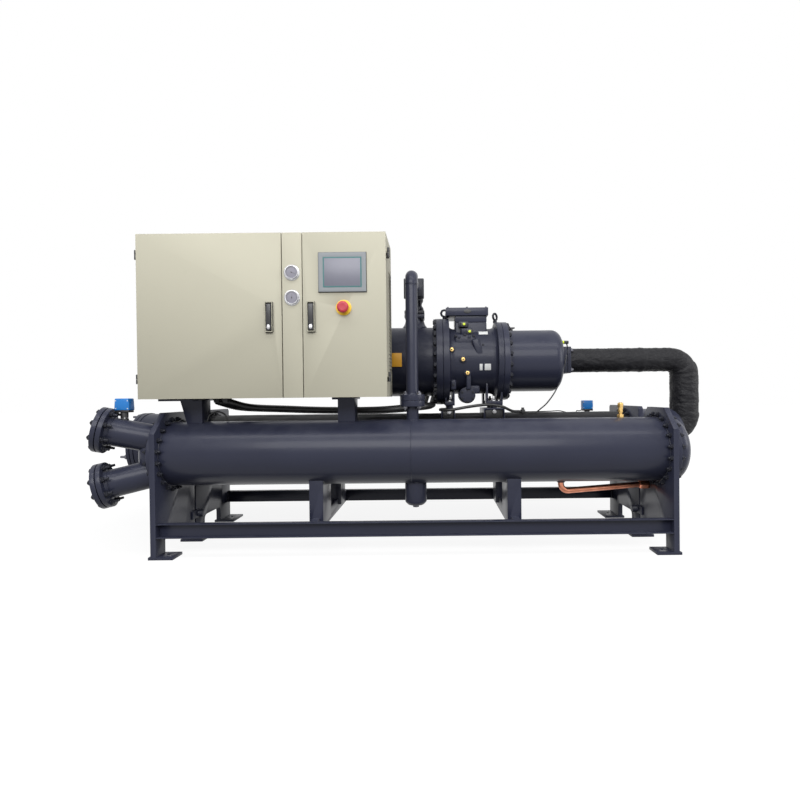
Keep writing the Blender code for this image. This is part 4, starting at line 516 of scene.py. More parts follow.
# %% Plates, sweeps and copies
def bevel(shape, edges, width, segments, slide=False):
    """Bevel some edges of a shape."""
    bmesh.ops.bevel(
        shape, geom=edges, offset=width, offset_type="OFFSET", segments=segments, profile=0.5,
        affect="EDGES", material=-1, clamp_overlap=True, loop_slide=slide,
    )


def slab(low, high, edge=0.0015, segments=2):
    """Box between two corners with bevelled edges."""
    shape = bmesh.new()
    low, high = Vector(low), Vector(high)
    bmesh.ops.create_cube(shape, size=1.0)
    bmesh.ops.scale(shape, vec=high - low, verts=shape.verts)
    bmesh.ops.translate(shape, vec=(low + high) / 2, verts=shape.verts)
    if edge:
        bevel(shape, shape.edges[:], edge, segments)
    return shape


def swept(path, radii, sides=48):
    """Round bar along a path, with one radius for each of its points."""
    shape = bmesh.new()
    rings = []
    for index, point in enumerate(path):
        before = path[max(index - 1, 0)]
        after = path[min(index + 1, len(path) - 1)]
        place = Matrix.Translation(point) @ along(Vector(after) - Vector(before))
        made = bmesh.ops.create_circle(shape, segments=sides, radius=radii[index], matrix=place)
        rings.append(made["verts"])
    for first, second in zip(rings, rings[1:]):
        inside = set(first + second)
        edges = {edge for vert in inside for edge in vert.link_edges if len(edge.link_faces) < 2}
        bmesh.ops.bridge_loops(shape, edges=[edge for edge in edges if set(edge.verts) <= inside])
    shape.faces.new(rings[0])
    shape.faces.new(rings[-1])
    bmesh.ops.recalc_face_normals(shape, faces=shape.faces)
    return shape


def add_to(shape, other, place=None, keep=False):
    """Put a second shape into the first, moved by a matrix if one is given."""
    mesh = bpy.data.meshes.new("part")
    other.to_mesh(mesh)
    if place is not None:
        mesh.transform(place)
    shape.from_mesh(mesh)
    bpy.data.meshes.remove(mesh)
    if not keep:
        other.free()
    return shape


def stamped(one, places):
    """One shape that holds a copy of a small shape at every place."""
    shape = bmesh.new()
    for place in places:
        add_to(shape, one, place, keep=True)
    one.free()
    return shape


def together(*shapes):
    """Several shapes as one."""
    first = shapes[0]
    for other in shapes[1:]:
        add_to(first, other)
    return first


def piece(name, shape, finish, body="base", stands_for=(), angle=32):
    """Finished piece that rides on a body, and may stand for some of the solids."""
    mesh = bpy.data.meshes.new(name)
    shape.to_mesh(mesh)
    shape.free()
    mesh.materials.append(finish)
    mesh.shade_smooth()
    mesh.set_sharp_from_angle(angle=math.radians(angle))
    made = bpy.data.objects.new(name, mesh)
    scene.collection.objects.link(made)
    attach(made, body)
    if stands_for:
        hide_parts(*stands_for)
    return made


def softened(node, width, segments=2):
    """Copy of a flat-sided solid with its triangles dissolved and its sharp edges bevelled."""
    shape = bmesh.new()
    shape.from_mesh(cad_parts[node].data)
    bmesh.ops.remove_doubles(shape, verts=shape.verts, dist=1e-5)
    bmesh.ops.dissolve_limit(
        shape, angle_limit=math.radians(0.5), use_dissolve_boundaries=False,
        verts=shape.verts, edges=shape.edges, delimit={"NORMAL"},
    )
    sharp = [edge for edge in shape.edges if edge.is_manifold and edge.calc_face_angle() > math.radians(28)]
    bevel(shape, sharp, width, segments, slide=True)
    bmesh.ops.recalc_face_normals(shape, faces=shape.faces)
    return shape


# %% [markdown]
# ## Fastenings and welds
# A machine like this is held by hundreds of bolts, and they are what gives it its scale.  One nut with
# its washer and stud is made, and copies are stamped round a flange or along an edge into a single mesh.
# Welds are thin uneven beads: a ring of small section, pushed in and out a little by noise.


# %% Nuts and bolts
def cone(shape, sides, low, high, height, middle):
    """Add a layer round the Z axis to a shape, with its lower and upper radius."""
    bmesh.ops.create_cone(
        shape, cap_ends=True, segments=sides, radius1=low, radius2=high, depth=height,
        matrix=Matrix.Translation((0, 0, middle)),
    )


def fastener(size, stud=0.0, washer=True):
    """Washer, hexagon and the end of its stud, standing on the origin along Z, for one thread size."""
    shape = bmesh.new()
    base = size * 0.18 if washer else 0.0
    if washer:
        cone(shape, 20, size * 1.05, size * 1.02, base, base / 2)
    cone(shape, 6, size * 0.92, size * 0.92, size * 0.6, base + size * 0.3)
    cone(shape, 6, size * 0.92, size * 0.76, size * 0.12, base + size * 0.66)
    if stud:
        cone(shape, 10, size * 0.5, size * 0.42, stud, base + size * 0.7 + stud / 2)
    return shape


def ring(centre, direction, radius, count, first=0.5):
    """Places evenly round a centre, each facing a direction."""
    turn = facing(centre, direction)
    places = []
    for index in range(count):
        angle = 2 * math.pi * (index + first) / count
        places.append(turn @ Matrix.Translation((radius * math.cos(angle), radius * math.sin(angle), 0)))
    return places


# %% Welds
def roughened(shape, amount, scale):
    """Move each point of a shape along its normal by noise."""
    shape.normal_update()
    for vert in shape.verts:
        vert.co += vert.normal * amount * noise.noise(vert.co * scale)
    return shape


def weld_ring(centre, direction, radius, size):
    """Weld bead round a pipe or a shell."""
    shape = bmesh.new()
    upright = Matrix.Rotation(math.pi / 2, 4, "X")
    made = bmesh.ops.create_circle(shape, segments=8, radius=size, matrix=upright)
    bmesh.ops.translate(shape, vec=(radius, 0, 0), verts=made["verts"])
    return roughened(spun(shape, centre, direction, 96), size * 0.35, 110.0)


def weld_line(start, end, size):
    """Straight weld bead between two points."""
    steps = max(4, int((Vector(end) - Vector(start)).length / 0.012))
    path = [Vector(start).lerp(Vector(end), step / steps) for step in range(steps + 1)]
    radii = [size * (1 + 0.3 * noise.noise(point * 130.0)) for point in path]
    return swept(path, radii, 8)


def hollow(profile, bore, start, direction, steps=96):
    """Turned piece with a bore through it: its outer profile, closed along the bore's radius."""
    shape = bmesh.new()
    outer = rounded([(profile[0][0], bore), *profile, (profile[-1][0], bore)], 0.003)
    points = [shape.verts.new((point[1], 0.0, point[0])) for point in outer]
    for pair in zip(points, points[1:] + points[:1]):
        shape.edges.new(pair)
    return spun(shape, start, direction, steps)


def dished_box(low, high, rim, level, edge=0.001):
    """Box whose front face is sunk, inside a rim, to a level in Y."""
    shape = slab(low, high, 0.0)
    front = [face for face in shape.faces if face.normal.y < -0.5]
    bmesh.ops.inset_region(shape, faces=front, thickness=rim, use_even_offset=True)
    for vert in {vert for face in front for vert in face.verts}:
        vert.co.y = level
    bevel(shape, shape.edges[:], edge, 2)
    return shape


def gland(place, direction, flange, neck, step):
    """Hexagonal cable gland: a wide flange, and a narrower neck from a step onwards."""
    return lathed([(0, flange), (step, flange), (step, neck), (0.024, neck)], 0.001, place, direction, 6)


def arc(count, start, end):
    """Angles from one to another, both included."""
    return [start + (end - start) * index / (count - 1) for index in range(count)]


# %% [markdown]
# ## Frame: tube sheets, beams and supports
# The tube sheets are thick plates that are also the legs, so their edges only lose their sharpness.  A
# copy of each solid gets its triangles dissolved and its edges bevelled, and stands for the solid.

# %% Frame plates
CONDENSER_AXIS = 0.220
EVAPORATOR_AXIS = 0.740
SHELL_HEIGHT = 0.566
SHELL_RADIUS = 0.1885
SHEET_OUTER = 1.465
SHEET_INNER = 1.435
SHEET_NUTS = 20

for node in (
    "condenser_sheet_left", "condenser_sheet_right", "evaporator_sheet_left", "evaporator_sheet_right",
    "front_beam", "rear_beam", "compressor_saddle_left", "compressor_saddle_right",
):
    piece(f"{node}_plate", softened(node, 0.0016), enamel_smooth, stands_for=[node], angle=40)
for node in ("support_left", "support_right", "cabinet_bracket_left", "cabinet_bracket_right"):
    piece(f"{node}_plate", softened(node, 0.0012), enamel_smooth, stands_for=[node], angle=40)

# %% Bolts and welds of the frame
shell_middle = Vector((0, depth(CONDENSER_AXIS), SHELL_HEIGHT))
rear_middle = Vector((0, depth(EVAPORATOR_AXIS), SHELL_HEIGHT))
CONDENSER_NUT_RING = 0.2065
EVAPORATOR_NUT_RING = 0.2195
inner_nuts = []
for side in (-1, 1):
    for middle, radius in ((shell_middle, CONDENSER_NUT_RING), (rear_middle, EVAPORATOR_NUT_RING)):
        centre = middle + Vector((side * SHEET_INNER, 0, 0))
        inner_nuts += ring(centre, (-side, 0, 0), radius, SHEET_NUTS)
piece("sheet_nuts", stamped(fastener(0.014, 0.012), inner_nuts), enamel_dark, angle=30)

BEAM_WEBS = (0.044, 0.969)
BEAM_BOTTOM = 0.119
BEAM_TOP = 0.195
beads = []
for side in (-1, 1):
    x = side * (SHEET_INNER - 0.002)
    beads.append(weld_ring(shell_middle + Vector((x, 0, 0)), (side, 0, 0), 0.189, 0.0045))
    for web in BEAM_WEBS:
        beads.append(weld_line((x, depth(web), BEAM_BOTTOM), (x, depth(web), BEAM_TOP), 0.003))
SUPPORT_X = 0.570
SUPPORT_HALF_WIDTH = 0.040
SADDLE_HALF_DEPTH = 0.110
SADDLE_BEAD_RADIUS = 0.1895
for side in (-1, 1):
    for edge in (-SUPPORT_HALF_WIDTH, SUPPORT_HALF_WIDTH):
        x = side * SUPPORT_X + edge
        angle = math.asin(SADDLE_HALF_DEPTH / SHELL_RADIUS)
        path = []
        for turn in arc(18, -angle, angle):
            across = SADDLE_BEAD_RADIUS * math.sin(turn)
            path.append(shell_middle + Vector((x, across, -SADDLE_BEAD_RADIUS * math.cos(turn))))
        beads.append(swept(path, [0.0035] * len(path), 8))
piece("frame_welds", together(*beads), enamel_cast, angle=60)

# %% [markdown]
# ## Condenser
# The shell is a rolled and welded steel tube, so it is turned again with many steps.  Its dished heads
# are pressed, with an elliptical dome and a bolted flange.  The sump below and the stub above are short
# pipes that end inside the shell, where nobody sees their ends.

# %% Condenser shell
DISCHARGE_X = -0.015
stub_profile = [
    (0, 0), (0, 0.036), (0.262, 0.036), (0.266, 0.040), (0.266, 0.074), (0.301, 0.074), (0.301, 0),
]
shell_length = 2 * SHEET_INNER - 2 * TOUCH
shell = lathed(
    [(0, SHELL_RADIUS), (shell_length, SHELL_RADIUS)], 0.001,
    (-SHEET_INNER + TOUCH, depth(CONDENSER_AXIS), SHELL_HEIGHT), RIGHTWARD, 128,
)
stub = turned(rounded(stub_profile, 0.003), (DISCHARGE_X, depth(CONDENSER_AXIS), SHELL_HEIGHT), UP, 64)
piece("condenser_shell_tube", together(shell, stub), enamel_smooth, stands_for=["condenser_shell"])

shell_beads = [
    weld_line((-1.43, depth(CONDENSER_AXIS + 0.135), SHELL_HEIGHT + 0.132),
              (1.43, depth(CONDENSER_AXIS + 0.135), SHELL_HEIGHT + 0.132), 0.0030),
    weld_ring((DISCHARGE_X, depth(CONDENSER_AXIS), SHELL_HEIGHT + 0.1855), UP, 0.0375, 0.0040),
    weld_ring((-0.02, depth(CONDENSER_AXIS), SHELL_HEIGHT), RIGHTWARD, SHELL_RADIUS, 0.0022),
]
piece("condenser_welds", together(*shell_beads), enamel_smooth, angle=60)


HEAD_FLANGE = 0.022
HEAD_FLANGE_RADIUS = 0.218
DOME_START = 0.045
DOME_HEIGHT = 0.090


def head_profile():
    """Dished head: bolting flange with a raised face, short skirt and an elliptical dome."""
    points = [
        (0, 0), (0, HEAD_FLANGE_RADIUS), (HEAD_FLANGE, HEAD_FLANGE_RADIUS), (HEAD_FLANGE, 0.196),
        (HEAD_FLANGE + 0.005, SHELL_RADIUS),
    ]
    for turn in arc(24, 0, math.pi / 2):
        points.append((DOME_START + DOME_HEIGHT * math.sin(turn), SHELL_RADIUS * math.cos(turn)))
    return points


for side, label in ((-1, "left"), (1, "right")):
    start = shell_middle + Vector((side * (SHEET_OUTER + TOUCH), 0, 0))
    dome = turned(rounded(head_profile(), 0.002), start, (side, 0, 0), 128)
    piece(
        f"condenser_dome_{label}", dome, enamel_smooth,
        stands_for=[f"condenser_head_{label}"],
    )
    flange_face = start + Vector((side * HEAD_FLANGE, 0, 0))
    places = ring(flange_face, (side, 0, 0), CONDENSER_NUT_RING, SHEET_NUTS)
    piece(f"condenser_dome_bolts_{label}", stamped(fastener(0.014, 0.010), places), enamel_dark, angle=30)

# %% Sump, safety valve and liquid line
sump_profile = [(0, 0), (0, 0.046), (0.018, 0.064), (0.200, 0.064), (0.200, 0)]
sump = turned(rounded(sump_profile, 0.006), (0, depth(CONDENSER_AXIS), SHELL_HEIGHT - 0.318), UP, 80)
sump_weld = weld_ring((0, depth(CONDENSER_AXIS), SHELL_HEIGHT - 0.180), UP, 0.0655, 0.0035)
drain = stamped(fastener(0.022, 0.0, False), [facing((0, depth(CONDENSER_AXIS), 0.2485), DOWN)])
piece("sump_pot", together(sump, sump_weld), enamel_smooth, stands_for=["condenser_sump"])
piece("sump_plug", drain, zinc_dark)

valve_foot = (1.224, depth(CONDENSER_AXIS), SHELL_HEIGHT + 0.180)
valve_profile = [
    (0, 0), (0, 0.021), (0.0245, 0.021), (0.0245, 0.0115), (0.036, 0.0115), (0.038, 0.015), (0.052, 0.015),
    (0.054, 0.012), (0.067, 0.012), (0.069, 0.018), (0.090, 0.018), (0.097, 0.010), (0.097, 0),
]
valve = turned(rounded(valve_profile, 0.0012), valve_foot, UP, 6)
valve_body = lathed([(0.030, 0.0135), (0.092, 0.0135)], 0.001, valve_foot, UP, 40)
piece("safety_valve_body", together(valve, valve_body), brass, stands_for=["safety_valve"], angle=25)

LIQUID_RADIUS = 0.0175
LIQUID_X = 0.865
LIQUID_LANE = 0.330
LIQUID_DROP = 0.248
LIQUID_END_DROP = 0.233


def eased(corner, before, after, radius, steps=10):
    """Points of an arc that rounds the corner between two straight runs."""
    corner = Vector(corner)
    back = (Vector(before) - corner).normalized()
    ahead = (Vector(after) - corner).normalized()
    half = back.angle(ahead) / 2
    centre = corner + (back + ahead).normalized() * (radius / math.sin(half))
    first = corner + back * (radius / math.tan(half)) - centre
    last = corner + ahead * (radius / math.tan(half)) - centre
    first, last = first.normalized(), last.normalized()
    return [centre + first.slerp(last, step / steps) * radius for step in range(steps + 1)]


liquid_corners = [
    Vector((LIQUID_X, depth(CONDENSER_AXIS), SHELL_HEIGHT - 0.160)),
    Vector((LIQUID_X, depth(CONDENSER_AXIS), SHELL_HEIGHT - LIQUID_DROP)),
    Vector((SHEET_INNER - 0.060, depth(LIQUID_LANE), SHELL_HEIGHT - LIQUID_END_DROP)),
    Vector((SHEET_INNER - TOUCH, depth(LIQUID_LANE), SHELL_HEIGHT - LIQUID_END_DROP)),
]
liquid_path = [liquid_corners[0], *eased(liquid_corners[1], liquid_corners[0], liquid_corners[2], 0.045),
               *liquid_corners[2:]]
pipe = swept(liquid_path, [LIQUID_RADIUS] * len(liquid_path), 40)
nut_profile = [(0, 0.021), (0.006, 0.027), (0.050, 0.027), (0.0597, 0.024)]
nut = lathed(nut_profile, 0.001, liquid_corners[2], RIGHTWARD, 6)
socket_ring = disc((LIQUID_X, depth(CONDENSER_AXIS), SHELL_HEIGHT - 0.195), UP, 0.020, 0.024, 0.003)
piece("liquid_pipe", together(pipe, nut), copper, stands_for=["liquid_line"])
piece("liquid_socket", socket_ring, enamel_smooth)

# %% [markdown]
# ## Water nozzles and flow switches
# Each nozzle is a pipe with a weld-neck flange, and a counter flange bolted to it with eight studs.  The
# pipe is open, so its profile is closed along the bore.  A flow switch is a blue capped box on a black
# base, screwed into the pipe with a short stem.

# %% Nozzles
NOZZLE_LENGTH = 0.737
NOZZLE_RADIUS = 0.0795
NOZZLE_BORE = 0.0750
FLANGE_RADIUS = 0.127
FLANGE_THICKNESS = 0.024
GASKET_GAP = 0.004
FLANGE_STUD_RING = 0.1045
FLANGE_STUDS = 8
WATER_PIPE_RISE = math.radians(12.6)
WATER_PIPE_FORWARD = math.radians(15.0)
CHILLED_PIPE_X = 1.284
CHILLED_PIPE_LENGTH = 0.500
MEETING_X = -1.0676


def nozzle(name, start, way, length, near, node, nut_sink):
    """Open pipe with flange pair, gasket and studs, whose outer nuts may sink into the face."""
    counter = length - FLANGE_THICKNESS
    own = counter - GASKET_GAP - FLANGE_THICKNESS
    own_face = own + FLANGE_THICKNESS
    profile = [
        (near, NOZZLE_RADIUS), (own - 0.012, NOZZLE_RADIUS), (own, NOZZLE_RADIUS + 0.007),
        (own, FLANGE_RADIUS), (own_face, FLANGE_RADIUS), (own_face, 0.100), (counter, 0.100),
        (counter, FLANGE_RADIUS), (length, FLANGE_RADIUS),
    ]
    pipe_shape = hollow(profile, NOZZLE_BORE, start, way)
    bead = weld_ring(start + way * (own - 0.020), way, NOZZLE_RADIUS, 0.0030)
    piece(name, together(pipe_shape, bead), enamel_smooth, stands_for=[node])
    gasket_profile = [(own_face - 0.0002, 0.1035), (counter + 0.0002, 0.1035)]
    gasket_ring = hollow(gasket_profile, NOZZLE_BORE + 0.0005, start, way, 64)
    piece(f"{name}_gasket", gasket_ring, black_plastic)
    front_face = start + way * length
    rear_face = start + way * own
    front_places = ring(front_face - way * nut_sink, way, FLANGE_STUD_RING, FLANGE_STUDS)
    bolts = stamped(fastener(0.016, 0.004), front_places)
    rear_bolts = stamped(fastener(0.016, 0.022), ring(rear_face, -way, FLANGE_STUD_RING, FLANGE_STUDS))
    piece(f"{name}_bolts", together(bolts, rear_bolts), enamel_dark, angle=30)


meeting = Vector((MEETING_X, depth(CONDENSER_AXIS), SHELL_HEIGHT))
for lift, label in ((1, "upper"), (-1, "lower")):
    level = math.cos(WATER_PIPE_RISE)
    way = Vector((
        -level * math.cos(WATER_PIPE_FORWARD), -level * math.sin(WATER_PIPE_FORWARD),
        lift * math.sin(WATER_PIPE_RISE),
    ))
    nozzle(f"water_pipe_{label}", meeting, way, NOZZLE_LENGTH, 0.430, f"condenser_nozzle_{label}", 0.002)
for side, label in ((-1, "left"), (1, "right")):
    start = Vector((side * CHILLED_PIPE_X, depth(EVAPORATOR_AXIS), SHELL_HEIGHT))
    nozzle(
        f"chilled_pipe_{label}", start, Vector(BACKWARD), CHILLED_PIPE_LENGTH, 0.190,
        f"evaporator_nozzle_{label}", 0.0185,
    )


# %% Flow switches
def switch(name, node, stem_bottom):
    """Blue cap on a black base, with its stem and a bright ring where it screws into the pipe."""
    low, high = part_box(node)
    middle = (low + high) / 2
    cap_low = high.z - 0.067
    cap = slab((low.x, low.y, cap_low), (high.x, high.y, high.z), 0.0)
    for vert in cap.verts:
        if vert.co.z > middle.z:
            vert.co.x = middle.x + (vert.co.x - middle.x) * 0.907
    bmesh.ops.bevel(
        cap, geom=cap.edges[:], offset=0.005, offset_type="OFFSET", segments=3, profile=0.5,
        affect="EDGES", material=-1, clamp_overlap=True,
    )
    place = Vector((middle.x, middle.y, 0))
    piece(f"{name}_cap", cap, switch_blue, stands_for=[node])
    sunk = Matrix.Translation((0, 0, -0.0035))
    screws = [facing((middle.x + across, low.y, cap_low + up), FORWARD) @ sunk
              for across in (-0.033, 0.033) for up in (0.010, 0.054)]
    piece(f"{name}_screws", stamped(disc(ORIGIN, UP, 0.004, 0.0035, 0.0006, 16), screws), zinc)
    inset = 0.003
    base = slab((low.x + inset, low.y + inset, cap_low - 0.012),
                (high.x - inset, high.y - inset, cap_low + 0.002), 0.003)
    stem_profile = [(0, 0.0215), (0.010, 0.0215), (0.012, 0.020), (cap_low - 0.010 - stem_bottom, 0.020)]
    stem = lathed(stem_profile, 0.001, place + Vector((0, 0, stem_bottom)), UP, 40)
    piece(f"{name}_base", together(base, stem), black_plastic)
    nut = lathed([(0, 0.0215), (0.014, 0.0215)], 0.001, place + Vector((0, 0, stem_bottom + 0.004)), UP, 6)
    piece(f"{name}_ring", nut, zinc, angle=25)


switch("condenser_switch", "condenser_flow_switch", 0.772)
switch("evaporator_switch", "evaporator_flow_switch", SHELL_HEIGHT + 0.0765)

# %% [markdown]
# ## Evaporator
# The rear shell is wrapped in black closed-cell foam, which is never quite round: it bulges a little
# between the glued joints.  So the tube is cut into many rings and every point is moved by slow noise.
# The heads outside the sheets are painted steel.

# %% Foam jacket
FOAM_RADIUS = 0.2075
foam_length = 2 * SHEET_INNER - 2 * TOUCH
joints = (0.02, 0.98, 1.94, 2.85)
foam_profile = [(0, 0)]
steps = 240
for step in range(steps + 1):
    distance = foam_length * step / steps
    pinch = sum(math.exp(-((distance - joint) / 0.010) ** 2) for joint in joints)
    foam_profile.append((distance, FOAM_RADIUS - 0.0015 - 0.0035 * pinch))
foam_profile.append((foam_length, 0))
foam_start = rear_middle + Vector((-SHEET_INNER + TOUCH, 0, 0))
jacket = turned(foam_profile, foam_start, RIGHTWARD, 160)
for vert in jacket.verts:
    radial = vert.co - Vector((vert.co.x, rear_middle.y, SHELL_HEIGHT))
    if radial.length < 0.1:
        continue
    wave = noise.noise(Vector((vert.co.x * 2.6, radial.y * 11, radial.z * 11)))
    small = noise.noise(Vector((vert.co.x * 16, radial.y * 28, radial.z * 28)))
    seam = math.exp(-((math.atan2(radial.z, radial.y) - 1.9) / 0.020) ** 2)
    vert.co += radial.normalized() * (0.0020 * wave + 0.0008 * small - 0.003 * seam)
piece("evaporator_jacket", jacket, black_foam, stands_for=["evaporator_shell"], angle=60)

# %% Evaporator heads
BARREL = 0.222
BARREL_FLANGE = 0.228
BARREL_PLATE = 0.028
BARREL_LENGTH = 0.447
left_profile = [
    (0, BARREL_FLANGE), (BARREL_PLATE, BARREL_FLANGE), (BARREL_PLATE, BARREL), (0.399, BARREL),
    (0.399, BARREL_FLANGE), (0.421, BARREL_FLANGE), (0.421, BARREL), (0.425, BARREL),
    (0.425, BARREL_FLANGE), (BARREL_LENGTH, BARREL_FLANGE),
]
left_start = rear_middle + Vector((-SHEET_OUTER - TOUCH, 0, 0))
left_barrel = lathed(left_profile, 0.003, left_start, LEFTWARD, 128)
piece("evaporator_barrel_left", left_barrel, enamel_smooth, stands_for=["evaporator_head_left"])
cover_face = left_start + Vector((-BARREL_LENGTH, 0, 0))
cover_nuts = [place @ Matrix.Translation((0, 0, -0.001)) for place in ring(cover_face, LEFTWARD, 0.210, 12)]
piece("barrel_cover_studs", stamped(fastener(0.018, 0.0305), cover_nuts), zinc_dark, angle=30)


def barrel_screws(label, start, side):
    """Socket screws round the plate that holds a head to its sheet."""
    places = ring(start + Vector((side * 0.020, 0, 0)), (side, 0, 0), 0.2210, SHEET_NUTS)
    piece(f"barrel_{label}_screws", stamped(disc(ORIGIN, UP, 0.008, 0.0085, 0.001, 24), places), zinc_dark)


barrel_screws("left", left_start, -1)

RIGHT_LENGTH = 0.325
RIGHT_ROUNDING = 0.050
right_profile = [(0, 0), (0, BARREL_FLANGE), (BARREL_PLATE, BARREL_FLANGE), (BARREL_PLATE, BARREL)]
for turn in arc(16, 0, math.pi / 2):
    right_profile.append((RIGHT_LENGTH - RIGHT_ROUNDING + RIGHT_ROUNDING * math.sin(turn),
                          BARREL - RIGHT_ROUNDING + RIGHT_ROUNDING * math.cos(turn)))
right_profile.append((RIGHT_LENGTH, 0))
right_start = rear_middle + Vector((SHEET_OUTER + TOUCH, 0, 0))
right_barrel = turned(rounded(right_profile, 0.002), right_start, RIGHTWARD, 128)
piece("evaporator_barrel_right", right_barrel, enamel_smooth, stands_for=["evaporator_head_right"])
barrel_screws("right", right_start, 1)

# %% [markdown]
# ## Oil separator
# The separator is a pressed shell with a dished end and a thick cast flange.  A square valve flange
# stands on it, on a neck that flares into the shell.  Cast and pressed parts are one solid in the model,
# so they are one piece here too.

# %% Separator
COMPRESSOR_HEIGHT = 1.130
axis_middle = Vector((0, depth(EVAPORATOR_AXIS), COMPRESSOR_HEIGHT))
SEPARATOR_START = -0.480
SEPARATOR_RADIUS = 0.2375
VALVE_HALF = 0.068

separator_profile = []
for turn in arc(28, 0, math.pi / 2):
    separator_profile.append((0.090 * (1 - math.cos(turn)), SEPARATOR_RADIUS * math.sin(turn)))
separator_profile += [
    (0.590, SEPARATOR_RADIUS), (0.612, 0.262), (0.612, 0.297), (0.6552, 0.297), (0.6552, 0),
]
separator_start = axis_middle + Vector((SEPARATOR_START, 0, 0))
separator = turned(rounded(separator_profile, 0.004), separator_start, RIGHTWARD, 160)
neck_profile = [
    (0.200, 0.092), (0.2355, 0.088), (0.258, 0.072), (0.2825, 0.064), (0.299, 0.064), (0.299, 0.066),
]
neck_round = lathed(neck_profile, 0.004, axis_middle + Vector((DISCHARGE_X, 0, 0)), UP, 80)
neck_plate = slab(
    (DISCHARGE_X - VALVE_HALF, axis_middle.y - VALVE_HALF, COMPRESSOR_HEIGHT + 0.299),
    (DISCHARGE_X + VALVE_HALF, axis_middle.y + VALVE_HALF, COMPRESSOR_HEIGHT + 0.325), 0.004, 3,
)
piece(
    "separator_shell", together(separator, neck_round, neck_plate), enamel_cast,
    stands_for=["oil_separator"], angle=40,
)

# %% Bolts of the two large flanges
BODY_START = 0.219
BODY_END = 0.536
MOTOR_FLANGE = 0.0385
left_flange = axis_middle + Vector((0.132, 0, 0))
right_flange = axis_middle + Vector((BODY_END + 2 * MOTOR_FLANGE, 0, 0))
piece("separator_flange_bolts", stamped(fastener(0.020, 0.004), ring(left_flange, LEFTWARD, 0.276, 24)),
      enamel_dark, angle=30)
piece("motor_flange_bolts", stamped(fastener(0.018, 0.004), ring(right_flange, RIGHTWARD, 0.250, 22)),
      enamel_dark, angle=30)
separator_beads = [
    weld_ring(axis_middle + Vector((SEPARATOR_START + 0.090, 0, 0)), RIGHTWARD, SEPARATOR_RADIUS, 0.0028),
]
piece("separator_welds", together(*separator_beads), enamel_smooth, angle=60)

# %% Plates without words, and the separator's plugs
plate_x = -0.130
orange = slab((plate_x - 0.036, axis_middle.y - SEPARATOR_RADIUS - 0.0016, COMPRESSOR_HEIGHT - 0.045),
              (plate_x + 0.036, axis_middle.y - SEPARATOR_RADIUS + 0.010, COMPRESSOR_HEIGHT + 0.045), 0.001)
piece("orange_plate", orange, plate_orange)
plug_places = []
for x, turn in ((-0.300, -0.55), (-0.020, -0.75)):
    outward = Vector((0, -math.cos(turn), math.sin(turn)))
    plug_places.append(facing(axis_middle + Vector((x, 0, 0)) + 0.2370 * outward, outward))
piece("separator_plugs", stamped(fastener(0.024, 0.0), plug_places), enamel_dark, angle=30)

# %% [markdown]
# ## Compressor body
# The body is one casting with covers, bosses, ribs and four feet.  The main forms are turned and
# bevelled, and the smaller ones are laid over them, each one running into the casting as it does in
# the real thing.

# %% Body casting
BODY_RADIUS = 0.225
body_profile = [
    (0.1757, 0.297), (BODY_START, 0.297), (BODY_START, 0.246), (0.231, 0.231), (0.250, BODY_RADIUS),
    (0.505, BODY_RADIUS), (0.524, 0.232), (BODY_END, 0.245), (BODY_END, 0.270), (0.5742, 0.270),
]
casting = lathed(body_profile, 0.005, axis_middle, RIGHTWARD, 160)
front_y = axis_middle.y


def on_body(x, rise_share, lift=0.0):
    """Point on the body's front, at a height given as a share of its radius, lifted off the surface."""
    turn = math.asin(rise_share)
    reach = BODY_RADIUS + lift
    return Vector((x, front_y - reach * math.cos(turn), COMPRESSOR_HEIGHT + reach * math.sin(turn)))


def body_block(x_low, x_high, low, high, depth_front, depth_back, edge=0.006):
    """Cast block on the body's front."""
    return slab((x_low, depth(depth_front), low), (x_high, depth(depth_back), high), edge, 3)


blocks = [
    body_block(0.262, 0.474, COMPRESSOR_HEIGHT, 1.389, 0.620, 0.860, 0.008),
    body_block(0.250, 0.392, 1.196, 1.300, 0.545, 0.640, 0.020),
    body_block(0.296, 0.374, 1.296, 1.345, 0.570, 0.660, 0.010),
    body_block(0.283, 0.350, 1.350, 1.392, 0.600, 0.660, 0.006),
    body_block(0.222, 0.262, 0.930, 1.000, 0.540, 0.640, 0.012),
    body_block(0.345, 0.420, 0.905, 0.960, 0.570, 0.700, 0.010),
]
slanted = body_block(-0.026, 0.026, -0.085, 0.085, 0.518, 0.640, 0.014)
bmesh.ops.rotate(slanted, cent=ORIGIN, matrix=Matrix.Rotation(-0.32, 3, "Y"), verts=slanted.verts)
bmesh.ops.translate(slanted, vec=(0.412, 0, 1.185), verts=slanted.verts)
blocks.append(slanted)
lower_rib = body_block(-0.016, 0.016, -0.060, 0.060, 0.522, 0.640, 0.010)
bmesh.ops.translate(lower_rib, vec=(0.342, 0, 0.990), verts=lower_rib.verts)
blocks.append(lower_rib)
COVER_X = 0.335
COVER_HEIGHT = COMPRESSOR_HEIGHT - BODY_RADIUS - 0.010
cover_profile = [(0, 0.054), (0.185, 0.054), (0.185, 0.049), (0.2048, 0.049)]
blocks.append(lathed(cover_profile, 0.003, (COVER_X, axis_middle.y, COVER_HEIGHT), FORWARD, 72))
for x in (0.283, 0.352):
    for z in (1.215, 1.281):
        blocks.append(disc((x, depth(0.5455), z), FORWARD, 0.006, 0.011, 0.002, 24))
ports = []
for along_body, port_rise in ((0.014, 0.064), (0.087, -0.001), (0.116, -0.089)):
    surface = math.sqrt(BODY_RADIUS ** 2 - port_rise ** 2)
    foot = Vector((BODY_START + along_body, front_y - surface + 0.020, COMPRESSOR_HEIGHT + port_rise))
    blocks.append(disc(foot, FORWARD, 0.0318, 0.022, 0.003, 40))
    ports.append(facing(foot + Vector((0, -0.0318, 0)), FORWARD))

